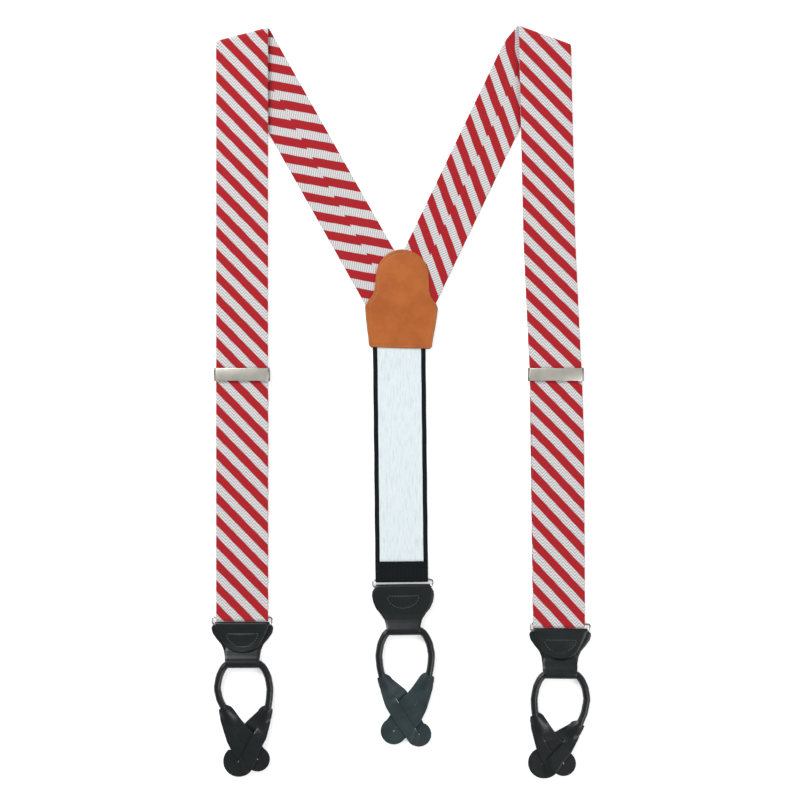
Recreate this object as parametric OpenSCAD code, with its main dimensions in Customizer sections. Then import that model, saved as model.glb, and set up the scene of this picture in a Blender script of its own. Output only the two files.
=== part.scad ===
// Button-on braces laid flat: striped straps folded forward at the shoulders, back patch lining side up.
// +Y runs from the button ends to the shoulders, +Z is up from the table.

/* [Straps] */
// Width of each striped strap
strap_w = 35; // [32:0.5:36]
// Thickness of the strap, a ribbon folded into a flat tube
strap_t = 1.2; // [0.9:0.1:1.3]
// Lean of the left back strap from the centre line, in degrees
left_back_lean = 29.4; // [26:0.1:33]
// Lean of the right back strap from the centre line, in degrees
right_back_lean = 25.1; // [22:0.1:29]
// Length of each layer of the shoulder fold
fold_len = 12; // [8:0.5:16]

/* [Layout] */
// Left strap: distance from the centre line
left_x = 107.5; // [100:0.5:115]
// Right strap: distance from the centre line at the shoulder
right_top_x = 96.3; // [90:0.1:105]
// Right strap: distance from the centre line at the ring
right_end_x = 105.7; // [100:0.1:112]
// Height of the left shoulder fold's axis along Y
left_fold_y = 245.7; // [240:0.1:250]
// Height of the right shoulder fold's axis along Y
right_fold_y = 245.2; // [240:0.1:250]
// Position of the adjusters along Y
adjuster_y = 19.2; // [10:0.1:30]
// Position of the left ring along Y
left_ring_y = -146.6; // [-152:0.1:-142]
// Position of the right ring along Y
right_ring_y = -151; // [-156:0.1:-146]
// Position of the back ring along Y
back_ring_y = -121.3; // [-126:0.1:-117]

/* [Elastic] */
// Width of the elastic back strap
elastic_w = 35; // [30:0.5:36]
// Thickness of the elastic
elastic_t = 1.0; // [0.8:0.1:1.2]
// Length of the end that is turned back round the ring and sewn
turnback = 13.2; // [10:0.1:18]

/* [Leather] */
// Thickness of the yoke and tab leather
leather_t = 1.0; // [0.8:0.1:1.1]
// Thickness of each half of the back patch
patch_t = 1.1; // [0.9:0.1:1.4]
// Radius of the rolled leather cord
cord_r = 2.4; // [2.2:0.1:2.5]
// Width of the yoke's fold round the ring
yoke_w = 37; // [34:0.5:37]
// Width of the sleeve that holds the cord
sleeve_w = 22.2; // [20:0.1:24]
// Radius of the round end of each buttonhole
buttonhole_r = 2.0; // [1.8:0.1:2.0]

/* [Metal] */
// Radius of the ring's wire
wire_r = 0.65; // [0.6:0.05:0.7]
// Outer width of each ring
ring_w = 41.4; // [41:0.1:43]
// Distance between the ring's two bars
ring_gap = 4.6; // [4.5:0.1:5]
// Width of the adjuster's cover plate
plate_w = 35.5; // [35.5:0.1:35.6]
// Depth of the adjuster's cover plate along the strap
plate_d = 8.6; // [8.4:0.1:9]
// Thickness of the adjuster's sheet steel
sheet_t = 0.8; // [0.7:0.1:0.8]

/* [Hidden] */
$fn = 48;

LEFT = -1;
RIGHT = 1;
run_clear = 0.05;                    // radial clearance of everything that turns on a wire or pin
gap = 0.05;                          // gap between layers that only lie on each other
big = 400;                           // longer than any strap
bar_y = ring_gap / 2;                // the ring's bars lie this far from its centre
ring_z = wire_r + run_clear + strap_t;  // height of the ring, held in the strap's loop
fold_r = 2 * strap_t;                // outer radius of the shoulder fold
sleeve_r = cord_r + run_clear + leather_t;
cord_z = sleeve_r;                   // height of the cord's centre in its sleeve
tan_col = "peru";
black_col = [0.12, 0.14, 0.15];
nickel_col = [0.72, 0.71, 0.68];
red_col = "firebrick";
back_red_col = "indianred";

right_adjuster_x = 103.4;
seam_gap = 0.25;                     // between a strap and the loop sewn to it
// Plan points of each front strap's middle line, from the shoulder down to the ring
left_line = [[-left_x, left_fold_y + 20], [-left_x, left_ring_y - 10]];
right_line = [
    [right_top_x - 0.4, right_fold_y + 20], [right_top_x + 2.8, 110],
    [right_adjuster_x + 0.35, adjuster_y - 5],
    [right_end_x - 0.6, -30], [right_end_x, right_ring_y - 10]];

function fold_at(side) = side < 0 ? [-left_x + 0.5, left_fold_y] : [right_top_x, right_fold_y];
function back_lean(side) = side < 0 ? left_back_lean : -right_back_lean;
function front_lean(side) = side < 0 ? 0 : 1.3;
function top_lean(side) = side < 0 ? left_back_lean : -41;   // lean of the back strap close to its fold
function fold_turn(side) = (top_lean(side) + front_lean(side)) / 2;
// Where each back strap straightens after its fold
function back_bend(side) = side < 0 ? [-103.9, 242.1] : [83.1, 234];
function back_line(side) = let (b = back_bend(side), low = back_lean(side), top = top_lean(side))
    [b + 40 * [-sin(top), cos(top)], b, b - 210 * [-sin(low), cos(low)]];
function front_line(side) = side < 0 ? left_line : right_line;
function ring_at(side) = side < 0 ? [-left_x, left_ring_y] : [right_end_x + 0.9, right_ring_y];
function adjuster_at(side) = side < 0 ? [-left_x, adjuster_y] : [right_adjuster_x, adjuster_y];
function reverse(list) = [for (i = [len(list) - 1 : -1 : 0]) list[i]];
function across(a, b) = [a.y - b.y, b.x - a.x] / norm(b - a);
function side_dir(line, i) =
    i == 0 ? across(line[0], line[1])
    : i == len(line) - 1 ? across(line[i - 1], line[i])
    : (across(line[i - 1], line[i]) + across(line[i], line[i + 1])) / 2;
// Outline of a strip of width w along a line
function strip(line, w) = concat(
    [for (i = [0 : len(line) - 1]) line[i] + side_dir(line, i) * w / 2],
    reverse([for (i = [0 : len(line) - 1]) line[i] - side_dir(line, i) * w / 2]));
// Side view of a band of thickness t: each point is [distance along, height of the under face]
function band(pts, t) = concat(pts, reverse([for (p = pts) [p.x, p.y + t]]));
function arc(cx, cy, rx, ry, from, to, steps) =
    [for (i = [0 : steps]) let (a = from + (to - from) * i / steps) [cx + rx * cos(a), cy + ry * sin(a)]];
function length_to(path, i) = i == 0 ? 0 : length_to(path, i - 1) + norm(path[i] - path[i - 1]);

// Side view of a strap, (y, z) polygon stretched across X
module side_view(pts, w) {
    rotate([90, 0, 90]) linear_extrude(w, center = true) polygon(pts);
}
module plan_view(pts, h) {
    linear_extrude(h) polygon(pts);
}
// A row of stitches along a path, lying on the plane z
module stitches(path, pitch, z, long = 1.3) {
    count = floor(length_to(path, len(path) - 1) / pitch);
    for (k = [0 : count - 1])
        let (
            s = (k + 0.5) * pitch,
            i = [for (n = [1 : len(path) - 1]) if (length_to(path, n) >= s) n][0],
            d = (path[i] - path[i - 1]) / norm(path[i] - path[i - 1]),
            p = path[i - 1] + d * (s - length_to(path, i - 1)))
        translate([p.x, p.y, z]) rotate(atan2(d.y, d.x)) translate([-long / 2, -0.2, 0]) cube([long, 0.4, 0.25]);
}

// ---- back patch, straps and elastic ----

patch_top = 103.2;
patch_low = 37.1;
patch_turn = -1.6;
patch_mid = [-0.2, 70];
strap_in_patch = patch_t + gap;      // the straps and the elastic lie on the outer leather
patch_lift = strap_in_patch + strap_t + gap;
// Half outline of the patch from the top of its dome to its foot, on the +X side
patch_half = concat(
    arc(0, patch_top - 17.8, 17.8, 17.8, 90, 8, 10),
    [[18.2, 76], [19.6, 72.4], [22.4, 68.4]],
    arc(21.6, 64.4, 2.6, 2.6, 50, -8, 4),
    arc(18.6, patch_low + 2.6, 2.6, 2.6, -10, -90, 4));
function mirrored(half) = concat(half, reverse([for (p = half) [-p.x, p.y]]));
function inset(pts, d) = [for (p = pts) [p.x * (1 - d / 21), (p.y - 68) * (1 - d / 33) + 68]];

module at_patch() {
    translate([patch_mid.x, patch_mid.y, 0]) rotate(patch_turn) translate([0, -patch_mid.y, 0]) children();
}
module patch_outer() {
    color(black_col) at_patch() plan_view(mirrored(patch_half), patch_t);
}
module patch_lining() {
    color(tan_col) at_patch() translate([0, 0, patch_lift]) plan_view(inset(mirrored(patch_half), 0.5), patch_t);
}
module patch_stitching() {
    path = inset(mirrored(patch_half), 2.2);
    color("chocolate") at_patch() stitches(concat(path, [path[0]]), 2.1, patch_lift + patch_t);
}
// Everything beyond the line where a strap is divided for its fold
module below_fold(side) {
    translate([fold_at(side).x, fold_at(side).y, 0]) rotate(fold_turn(side))
        translate([-big / 2, -fold_len - big, -5]) cube([big, big, 20]);
}
// The plan of a back strap, from beyond the fold to under the patch
module back_plan(side, h) {
    translate([0, 0, -1]) plan_view(strip(back_line(side), strap_w), h);
}
module back_strap(side) {
    far = 166;
    color(back_red_col) intersection() {
        back_plan(side, 12);
        below_fold(side);
        translate([side < 0 ? -big - gap : gap, 56, -1]) cube([big, big, 10]);
        translate([fold_at(side).x, fold_at(side).y, 0]) rotate(back_lean(side))
            side_view(band([[-230, strap_in_patch], [-far, strap_in_patch], [-far + 38, 0], [20, 0]], strap_t), 90);
    }
}
elastic_turn = 0.65;
elastic_x = -0.3;
module at_elastic() {
    translate([elastic_x, back_ring_y, 0]) rotate(elastic_turn) children();
}
elastic_far = 171;                   // from the ring to the elastic's sewn end under the patch
module elastic_strap() {
    loop_end = bar_y + turnback - 1.7;
    wrap_low = ring_z - wire_r - run_clear - elastic_t;
    color("whitesmoke") at_elastic() side_view(
        band([[loop_end + gap, wrap_low], [140, wrap_low], [158, strap_in_patch], [elastic_far, strap_in_patch]],
             elastic_t), elastic_w);
}
// A band folded round the ring's upper bar, its layers ending at the given places along Y
module wrap(w, t, front_end, back_end, front_drop) {
    inner = wire_r + run_clear;
    outer = inner + t;
    translate([0, bar_y, ring_z]) difference() {
        union() {
            rotate([0, 90, 0]) cylinder(r = outer, h = w, center = true);
            side_view(band([[0, -outer], [back_end, -outer]], t), w);
            side_view(band([[0, inner], [1.5, inner], [front_end, inner - front_drop]], t), w);
        }
        rotate([0, 90, 0]) cylinder(r = inner, h = w + 1, center = true);
        translate([-w, 0, -inner]) cube([2 * w, outer, 2 * inner]);
    }
}
module elastic_end() {
    end = turnback - 1.7;
    color(black_col) at_elastic() wrap(elastic_w, elastic_t, end, end, 2 * (wire_r + run_clear) - gap);
}
module elastic_stitching() {
    top = ring_z - wire_r - run_clear + elastic_t + gap;
    half = elastic_w / 2 - 2.5;
    rows = [for (r = [0, 1]) [[-half, bar_y + turnback - 3.2 - 1.6 * r], [half, bar_y + turnback - 3.2 - 1.6 * r]]];
    color([0.2, 0.2, 0.2]) at_elastic() for (r = rows) stitches(r, 2.5, top + 0.45, 1.6);
}

// ---- each front strap ----

adj_bar_z = 1.05;                    // under face of the adjuster's frame
adj_run_z = adj_bar_z + sheet_t + strap_t + 2 * gap;  // under face of the front run in the adjuster
loop_len = 8;                        // length of the strap's loop round the ring

module front_strap(side) {
    ring = ring_at(side);
    top_z = 2 * fold_r - strap_t;
    loop_y = ring.y + bar_y + loop_len + seam_gap;
    run = [
        [loop_y, ring_z + wire_r + run_clear], [loop_y + 16, strap_t + 0.15], [adjuster_y - 38, strap_t + 0.15],
        [adjuster_y - 15, adj_run_z], [adjuster_y + 13, adj_run_z], [adjuster_y + 50, 0.05], [150, 0.05],
        [182, 1.9], [212, top_z - 0.4], [224, top_z], [270, top_z]];
    color(red_col) intersection() {
        plan_view(strip(front_line(side), strap_w), 12);
        below_fold(side);
        side_view(band(run, strap_t), 300);
    }
}
module shoulder_fold(side) {
    color(red_col) intersection() {
        translate([fold_at(side).x, fold_at(side).y, fold_r]) rotate(fold_turn(side)) difference() {
            union() {
                rotate([0, 90, 0]) cylinder(r = fold_r, h = 70, center = true);
                translate([-35, -fold_len + gap / 2, -fold_r]) cube([70, fold_len, 2 * fold_r]);
            }
            rotate([0, 90, 0]) cylinder(r = fold_r - strap_t, h = 80, center = true);
            translate([-40, -fold_len - 1, strap_t - fold_r]) cube([80, fold_len + 1, 2 * (fold_r - strap_t)]);
        }
        union() {
            translate([0, 0, fold_r]) plan_view(strip(front_line(side), strap_w), 6);
            intersection() {
                back_plan(side, 1 + fold_r);
                translate([-big / 2, 0, -1]) cube([big, big, 1 + fold_r]);
            }
        }
    }
}
module at_ring(side) {
    translate([ring_at(side).x, ring_at(side).y, 0]) rotate(side < 0 ? 0 : -0.6) children();
}
module strap_loop(side) {
    color(red_col) translate([side < 0 ? 0 : -0.9, 0, 0]) at_ring(side) wrap(strap_w, strap_t, loop_len, loop_len, 0);
}
frame_bar_y = -3.3;                  // middle of the bar that the strap's end is sewn round
frame_bar_d = 2.2;
module strap_tail(side) {
    ring = ring_at(side);
    adj = adjuster_at(side);
    reach = frame_bar_d / 2 + gap;
    high = adj_bar_z + sheet_t + gap;
    turn_y = adj.y + frame_bar_y + reach;
    line = [[ring.x - (side < 0 ? 0 : 0.9), ring.y - 5], [adj.x, adj.y + 10]];
    color(back_red_col) intersection() {
        plan_view(strip(line, strap_w), 12);
        union() {
            side_view(band([[ring.y + bar_y + loop_len + seam_gap, 0], [adj.y - 18, 0], [turn_y, 0]], strap_t - 0.2), 300);
            side_view(band([[adj.y - 22, -0.4], [adj.y - 15, high], [turn_y, high]], 1), 300);
            side_view([[turn_y, 0], [turn_y + 1, 0], [turn_y + 1, high + 1], [turn_y, high + 1]], 300);
        }
    }
}
module tail_stitching(side) {
    adj = adjuster_at(side);
    half = strap_w / 2 - 2.5;
    path = [[adj.x - half, adj.y - 13.4], [adj.x + half, adj.y - 13.4]];
    color("white") stitches(path, 2.5, adj_bar_z + sheet_t + gap + 1, 1.6);
}

// ---- adjuster: a frame behind the strap and a toothed lever in front of it ----

ear_gap = plate_w + 0.3;             // inside width of the frame
pin_y = 3.3;
pin_z = adj_run_z + strap_t + 0.75;
pin_r = 0.6;
plate_z = pin_z + 0.25;
module at_adjuster(side) {
    translate([adjuster_at(side).x, adjuster_at(side).y, 0]) children();
}
module adjuster_frame(side) {
    outer = ear_gap + 2 * sheet_t;
    half = plate_d / 2 + 0.2;
    color(nickel_col) at_adjuster(side) difference() {
        union() {
            translate([-outer / 2, -half, adj_bar_z]) cube([outer, 2 * half, sheet_t]);
            for (s = [-1, 1]) translate([s * (ear_gap + sheet_t) / 2, 0, 0])
                rotate([90, 0, 90]) linear_extrude(sheet_t, center = true) polygon(concat(
                    [[-half, adj_bar_z], [half, adj_bar_z], [half, pin_z - 1]],
                    arc(half - 1.4, pin_z + 0.1, 1.4, 1.2, 0, 90, 5), [[1, pin_z + 0.9], [-half, adj_run_z + 0.6]]));
        }
        translate([-ear_gap / 2, frame_bar_y + frame_bar_d / 2, adj_bar_z - 1]) cube([ear_gap, 4.2, sheet_t + 2]);
        translate([0, pin_y, pin_z]) rotate([0, 90, 0]) cylinder(r = pin_r + 0.01, h = outer + 2, center = true);
    }
}
module adjuster_pins(side) {
    color("silver") at_adjuster(side) for (s = [-1, 1])
        translate([s * (ear_gap / 2 - 0.45), pin_y, pin_z]) rotate([0, 90, 0])
            cylinder(r = pin_r, h = 2 * sheet_t + 0.9, center = true);
}
module adjuster_lever(side) {
    half = plate_w / 2;
    lug_w = 0.8;
    color(nickel_col) at_adjuster(side) difference() {
        union() {
            translate([-half, -plate_d / 2, plate_z + 0.3]) cube([plate_w, plate_d, sheet_t]);
            for (s = [-1, 1]) translate([s * (half - lug_w / 2), 0, 0])
                rotate([90, 0, 90]) linear_extrude(lug_w, center = true) polygon(concat(
                    [[0.6, plate_z + 0.5], [pin_y - 1, pin_z]],
                    arc(pin_y, pin_z, 1, 0.7, 190, 350, 8), [[pin_y + 1, plate_z + 0.5]]));
            // the lip that grips the strap, cut into teeth
            for (k = [-10 : 10]) translate([k * 1.6 - 0.5, pin_y - 0.35, adj_run_z + strap_t + 0.05])
                cube([1, sheet_t, plate_z - adj_run_z - strap_t + 0.6]);
            translate([-half + 1.1, pin_y - 0.35, pin_z - 0.2]) cube([plate_w - 2.2, sheet_t, 1]);
        }
        for (s = [-1, 1]) translate([s * half, pin_y, pin_z]) rotate([0, 90, 0])
            cylinder(r = pin_r + run_clear, h = 3.4, center = true);
    }
}

// ---- ring, yoke, cord loop and tabs, drawn about the ring's centre ----

module ring_wire() {
    corner = 1.3;
    long = ring_w - 2 * wire_r - 2 * corner;
    short = ring_gap - 2 * corner;
    color("silver") translate([0, 0, ring_z]) {
        for (s = [-1, 1]) {
            translate([0, s * bar_y, 0]) rotate([0, 90, 0]) cylinder(r = wire_r, h = long, center = true);
            translate([s * (long / 2 + corner), 0, 0]) rotate([90, 0, 0]) cylinder(r = wire_r, h = short, center = true);
        }
        for (q = [0 : 3]) {
            sx = q == 0 || q == 3 ? 1 : -1;
            sy = q < 2 ? 1 : -1;
            translate([sx * long / 2, sy * (bar_y - corner), 0]) rotate(q * 90)
                rotate_extrude(angle = 90) translate([corner, 0]) circle(r = wire_r, $fn = 24);
        }
    }
}
// Half outline of the yoke's broad layer, from the ring's bar down to the sleeve
function yoke_half(reach) = let (k = (reach - 5) / 26.5) concat(
    [[yoke_w / 2, -bar_y], [yoke_w / 2 + 0.8, -bar_y - 1.5]],
    arc(yoke_w / 2 - 2.2, -bar_y - 5.6 * k, 4, 4 * k, 30, -38, 5),
    arc(sleeve_w / 2 + 9.6, -bar_y - 25.6 * k, 8.8, 10 * k, 140, 180, 4));
module yoke(reach, flap_up) {
    inner = wire_r + run_clear;
    outer = inner + leather_t;
    color(black_col) difference() {
        union() {
            translate([0, 0, ring_z]) mirror([0, 0, flap_up ? 0 : 1]) {
                translate([0, -bar_y, 0]) rotate([0, 90, 0]) cylinder(r = outer, h = yoke_w, center = true);
                translate([0, 0, -outer]) plan_view(mirrored(yoke_half(reach)), leather_t);
                translate([0, 0, inner]) plan_view(concat(
                    [[-yoke_w / 2, -bar_y], [-yoke_w / 2 + 2, -bar_y - 4.5]],
                    arc(0, -bar_y - 9, 10.4, 8.4, 200, 340, 12), [[yoke_w / 2 - 2, -bar_y - 4.5], [yoke_w / 2, -bar_y]]),
                    leather_t);
                translate([-sleeve_w / 2, -reach, -inner - gap]) cube([sleeve_w, reach - 7.5, 2 * inner + 2 * gap]);
            }
            translate([0, -reach, cord_z]) rotate([0, 90, 0]) cylinder(r = sleeve_r, h = sleeve_w, center = true);
            side_view([[-reach, 0], [-reach, 2 * cord_z], [-reach + 3.5, 2 * cord_z - 0.8], [-reach + 10, 3.6],
                       [-reach + 10, 0.2]], sleeve_w);
        }
        translate([0, -reach, cord_z]) rotate([0, 90, 0])
            cylinder(r = cord_r + run_clear, h = sleeve_w + 2, center = true);
        for (s = [-1, 1]) translate([s * (sleeve_w / 2 - flare_len), -reach, cord_z]) rotate([0, s * 90, 0])
            cylinder(r1 = cord_r + run_clear, r2 = cord_r + 0.85, h = flare_len + 0.1);
        translate([0, -bar_y, ring_z]) rotate([0, 90, 0]) cylinder(r = inner, h = yoke_w + 2, center = true);
        translate([-yoke_w, -bar_y - 4.5, ring_z - inner]) cube([2 * yoke_w, 4.5, 2 * inner]);
    }
}
module yoke_stitching() {
    path = concat([[-10.6, -8.4], [10.6, -8.4]], arc(0, -8.4, 10.6, 8.2, 0, -180, 14));
    color([0.22, 0.24, 0.25]) stitches(path, 1.9, ring_z + wire_r + run_clear + leather_t);
}
bend_r = 7;                          // the cord's bend as it leaves the sleeve
side_r = 13;                         // the wider curve below it
knuckle_r = cord_r - 0.1;            // the cord's rounded end, which its tab turns on
knuckle_h = 2 * cord_r - 0.6;
flare_len = 3.4;                     // the sleeve widens over this length at each end
cord_straight = sleeve_w / 2 - 1.6;
cord_wide = [cord_straight + bend_r * sin(50) + side_r * (1 - sin(50)), bend_r * (cos(50) - 1) - side_r * cos(50)];

// Middle line of one side of the cord, from inside the sleeve to the neck of its tab
function cord_path(neck) =
    let (in = cord_wide.x - neck.x, down = cord_wide.y - neck.y, turn = 2 * atan(in / down), r = down / sin(turn))
    concat(
        [[cord_straight - 1, 0]],
        arc(cord_straight, -bend_r, bend_r, bend_r, 86, 40, 4),
        arc(cord_wide.x - side_r, cord_wide.y, side_r, side_r, 28, 0, 3),
        arc(cord_wide.x - r, cord_wide.y, r, r, -turn / 5, -turn, 4));
// A tube along a flat path, each ring of points square to it
module tube(path, r, sides = 16) {
    last = len(path) - 1;
    points = [for (i = [0 : last]) let (n = side_dir(path, i), out = n / norm(n)) for (k = [0 : sides - 1])
        let (a = k * 360 / sides) [path[i].x + out.x * r * cos(a), path[i].y + out.y * r * cos(a), r * sin(a)]];
    walls = [for (i = [0 : last - 1]) for (k = [0 : sides - 1]) let (n = (k + 1) % sides)
        [i * sides + k, (i + 1) * sides + k, (i + 1) * sides + n, i * sides + n]];
    ends = [[for (k = [0 : sides - 1]) k], [for (k = [sides - 1 : -1 : 0]) last * sides + k]];
    polyhedron(points, concat(walls, ends));
}
module cord_side(neck) {
    translate([0, 0, cord_z]) tube(cord_path(neck), cord_r - 0.03);
    translate([neck.x, neck.y, cord_z]) cylinder(r = knuckle_r, h = knuckle_h, center = true);
}
// The rolled cord through the sleeve; each side comes down to the neck of its tab
module cord_loop(left_neck, right_neck) {
    color(black_col) {
        translate([0, 0, cord_z]) rotate([0, 90, 0]) cylinder(r = cord_r, h = 2 * cord_straight, center = true);
        cord_side(right_neck);
        mirror([1, 0, 0]) cord_side([-left_neck.x, left_neck.y]);
    }
}
// A tab drawn from its neck along -Y, so that +X is on its left as it runs
level = [0.05, 1.7, 3.4];            // heights of the lower, middle and upper layers where the tabs cross
function leaf(reach) = mirrored([
    [4.3, 0], [6, -8], [7.6, -20], [7.2, -reach + 9], [6, -reach]]);
module tab_neck(z, top_z, reach) {
    side_view([[1.2, cord_z - cord_r], [-reach, z], [-reach, top_z], [-3, cord_z + cord_r - 0.2],
               [1.2, cord_z + cord_r]], 8.4);
}
module buttonhole(reach) {
    translate([0, -reach, -1]) cylinder(r = buttonhole_r, h = 8);
    translate([-0.35, -reach, -1]) cube([0.7, 20, 3 + level[1]]);
}
module knuckle_room() {
    translate([0, 0, -1]) cylinder(r = knuckle_r + 0.1, h = 12);
    translate([-10, -0.8, -1]) cube([20, 10.8, 12]);
}
// Draws a tab from its neck towards the middle of its disc
module at_neck(neck, disc) {
    translate([neck.x, neck.y, 0]) rotate(atan2(disc.x - neck.x, neck.y - disc.y)) children();
}
// The tab that passes through the other's buttonhole
module through_tab(neck, disc, disc_r) {
    reach = norm(disc - neck);
    thick = leather_t + 0.2;
    color(black_col) at_neck(neck, disc) difference() {
        union() {
            translate([0, 0, level[1]]) plan_view(leaf(reach), thick);
            translate([0, -reach, level[1]]) cylinder(r = disc_r, h = thick);
            tab_neck(level[1], level[1] + thick, 10);
        }
        buttonhole(reach);
        knuckle_room();
    }
}
// The tab whose open buttonhole the other passes through: one strand lies below it, the other bridges over
module open_tab(neck, disc, disc_r, upper_side) {
    reach = norm(disc - neck);
    thick = leather_t + 0.2;
    bridge = [[-reach - 9, level[0]], [-reach - 7.5, level[0]], [-reach - 3.7, level[2]], [-2, level[2]]];
    color(black_col) at_neck(neck, disc) difference() {
        union() {
            intersection() {
                translate([0, 0, level[0]]) plan_view(leaf(reach), thick);
                translate([upper_side > 0 ? -20 : -0.35, -reach - 1, -1]) cube([20.35, reach + 5, 6]);
            }
            translate([0, -reach, level[0]]) cylinder(r = disc_r, h = thick);
            intersection() {
                plan_view(leaf(reach + 9), 8);
                translate([upper_side > 0 ? buttonhole_r + 0.3 : -20 - buttonhole_r - 0.3, -reach - 12, 0])
                    cube([20, reach + 14, 8]);
                side_view(band(bridge, thick), 40);
            }
            tab_neck(level[0], level[2] + thick, 8);
        }
        buttonhole(reach);
        knuckle_room();
    }
}
module yoke_frame(which) {
    if (which == "left") at_ring(LEFT) children();
    if (which == "right") at_ring(RIGHT) children();
    if (which == "back") at_elastic() translate([0.9, 0, 0]) children();
}
// Distance from the ring's centre to the sleeve's, for each yoke
function reach_of(which) = which == "left" ? 28.2 : which == "right" ? 31 : 31.4;
// Each cord hangs a little to one side in its sleeve
module loop_frame(which) {
    shift = which == "left" ? 1 : which == "right" ? 0.5 : 1;
    yoke_frame(which) translate([shift, -reach_of(which), 0]) children();
}
left_necks = [[-13, -30.7], [16.3, -30.8]];
right_necks = [[-16.7, -28.6], [12.9, -34]];
back_necks = [[-15.6, -31.7], [15.7, -31]];

module left_outer_tab() loop_frame("left") through_tab(left_necks[0], [9.3, -64.8], 8.3);
module left_inner_tab() loop_frame("left") open_tab(left_necks[1], [-3.5, -66.5], 10.4, 1);
module right_inner_tab() loop_frame("right") through_tab(right_necks[0], [2.5, -60.5], 8.4);
module right_outer_tab() loop_frame("right") open_tab(right_necks[1], [-10.8, -60.5], 10.4, 1);
module back_left_tab() loop_frame("back") open_tab(back_necks[0], [8.7, -70.5], 8.3, -1);
module back_right_tab() loop_frame("back") through_tab(back_necks[1], [-8.2, -68], 8.9);

patch_outer();
patch_lining();
patch_stitching();
back_strap(LEFT);  // left_back_strap
back_strap(RIGHT);  // right_back_strap
elastic_strap();
elastic_end();
elastic_stitching();
shoulder_fold(LEFT);  // left_shoulder_fold
front_strap(LEFT);  // left_front_strap
strap_loop(LEFT);  // left_strap_loop
strap_tail(LEFT);  // left_strap_tail
tail_stitching(LEFT);  // left_tail_stitching
adjuster_frame(LEFT);  // left_adjuster_frame
adjuster_pins(LEFT);  // left_adjuster_pins
adjuster_lever(LEFT);  // left_adjuster_lever
yoke_frame("left") ring_wire();  // left_ring
yoke_frame("left") yoke(reach_of("left"), true);  // left_yoke
yoke_frame("left") yoke_stitching();  // left_yoke_stitching
loop_frame("left") cord_loop(left_necks[0], left_necks[1]);  // left_cord_loop
left_outer_tab();
left_inner_tab();
shoulder_fold(RIGHT);  // right_shoulder_fold
front_strap(RIGHT);  // right_front_strap
strap_loop(RIGHT);  // right_strap_loop
strap_tail(RIGHT);  // right_strap_tail
tail_stitching(RIGHT);  // right_tail_stitching
adjuster_frame(RIGHT);  // right_adjuster_frame
adjuster_pins(RIGHT);  // right_adjuster_pins
adjuster_lever(RIGHT);  // right_adjuster_lever
yoke_frame("right") ring_wire();  // right_ring
yoke_frame("right") yoke(reach_of("right"), true);  // right_yoke
yoke_frame("right") yoke_stitching();  // right_yoke_stitching
loop_frame("right") cord_loop(right_necks[0], right_necks[1]);  // right_cord_loop
right_inner_tab();
right_outer_tab();
yoke_frame("back") ring_wire();  // back_ring
yoke_frame("back") yoke(reach_of("back"), false);  // back_yoke
yoke_frame("back") yoke_stitching();  // back_yoke_stitching
loop_frame("back") cord_loop(back_necks[0], back_necks[1]);  // back_cord_loop
back_left_tab();
back_right_tab();
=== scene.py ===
"""Striped button-on braces laid flat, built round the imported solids."""
import logging
import math
from dataclasses import dataclass
from enum import Enum
from typing import Optional, Sequence

import bpy
import numpy as np
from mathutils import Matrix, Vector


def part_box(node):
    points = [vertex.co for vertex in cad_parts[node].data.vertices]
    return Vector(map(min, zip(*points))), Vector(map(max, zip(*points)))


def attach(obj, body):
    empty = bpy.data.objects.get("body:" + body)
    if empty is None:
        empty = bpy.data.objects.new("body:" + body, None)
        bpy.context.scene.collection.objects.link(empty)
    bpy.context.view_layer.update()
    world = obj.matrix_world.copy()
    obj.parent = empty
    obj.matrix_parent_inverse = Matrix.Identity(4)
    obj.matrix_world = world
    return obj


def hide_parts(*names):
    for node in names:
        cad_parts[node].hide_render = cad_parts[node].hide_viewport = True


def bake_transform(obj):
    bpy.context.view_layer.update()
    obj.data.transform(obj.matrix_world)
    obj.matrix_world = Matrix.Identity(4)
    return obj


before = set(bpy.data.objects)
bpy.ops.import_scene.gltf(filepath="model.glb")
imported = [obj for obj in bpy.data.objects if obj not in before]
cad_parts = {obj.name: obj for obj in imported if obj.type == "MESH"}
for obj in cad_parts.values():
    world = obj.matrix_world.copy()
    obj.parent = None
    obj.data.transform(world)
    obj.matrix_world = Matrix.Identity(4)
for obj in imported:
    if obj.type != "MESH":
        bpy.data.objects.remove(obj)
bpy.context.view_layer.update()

log = logging.getLogger("braces")
MM = 0.001
BAR_Y = 2.3  # from a ring's centre to the middle of its long sides
BAR_Z = 1.9  # height of a ring's wire above the floor
Points = np.ndarray
Place = tuple[float, float]
Socket = bpy.types.NodeSocket


class Face(Enum):
    """Which way up a yoke lies."""

    FLAP_UP = "flap_up"
    SMOOTH_UP = "smooth_up"


# ---------------------------------------------------------------- geometry helpers


def smoothstep(x: Points) -> Points:
    """Smooth ramp from 0 to 1.

    Args:
        x: values, clipped to the range 0 to 1.

    Returns:
        The eased values.
    """
    t = np.clip(x, 0, 1)
    return t * t * (3 - 2 * t)


def turned(x: Points, y: Points, degrees: float) -> tuple[Points, Points]:
    """Turns plan coordinates anticlockwise.

    Args:
        x: coordinates to the right.
        y: coordinates up the plan.
        degrees: the turn.

    Returns:
        The turned coordinates.
    """
    c, s = math.cos(math.radians(degrees)), math.sin(math.radians(degrees))
    return x * c - y * s, x * s + y * c


def placed(x: Points, y: Points, centre: Place, degrees: float) -> tuple[Points, Points]:
    """Turns plan coordinates and moves them to a centre.

    Args:
        x: coordinates to the right.
        y: coordinates up the plan.
        centre: where the origin goes.
        degrees: the turn.

    Returns:
        The placed coordinates.
    """
    px, py = turned(x, y, degrees)
    return px + centre[0], py + centre[1]


def centre_of(node: str) -> tuple[float, float, float]:
    """Middle of a solid's box, in millimetres."""
    low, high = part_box(node)
    return tuple((low[k] + high[k]) / 2 / MM for k in range(3))


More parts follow.
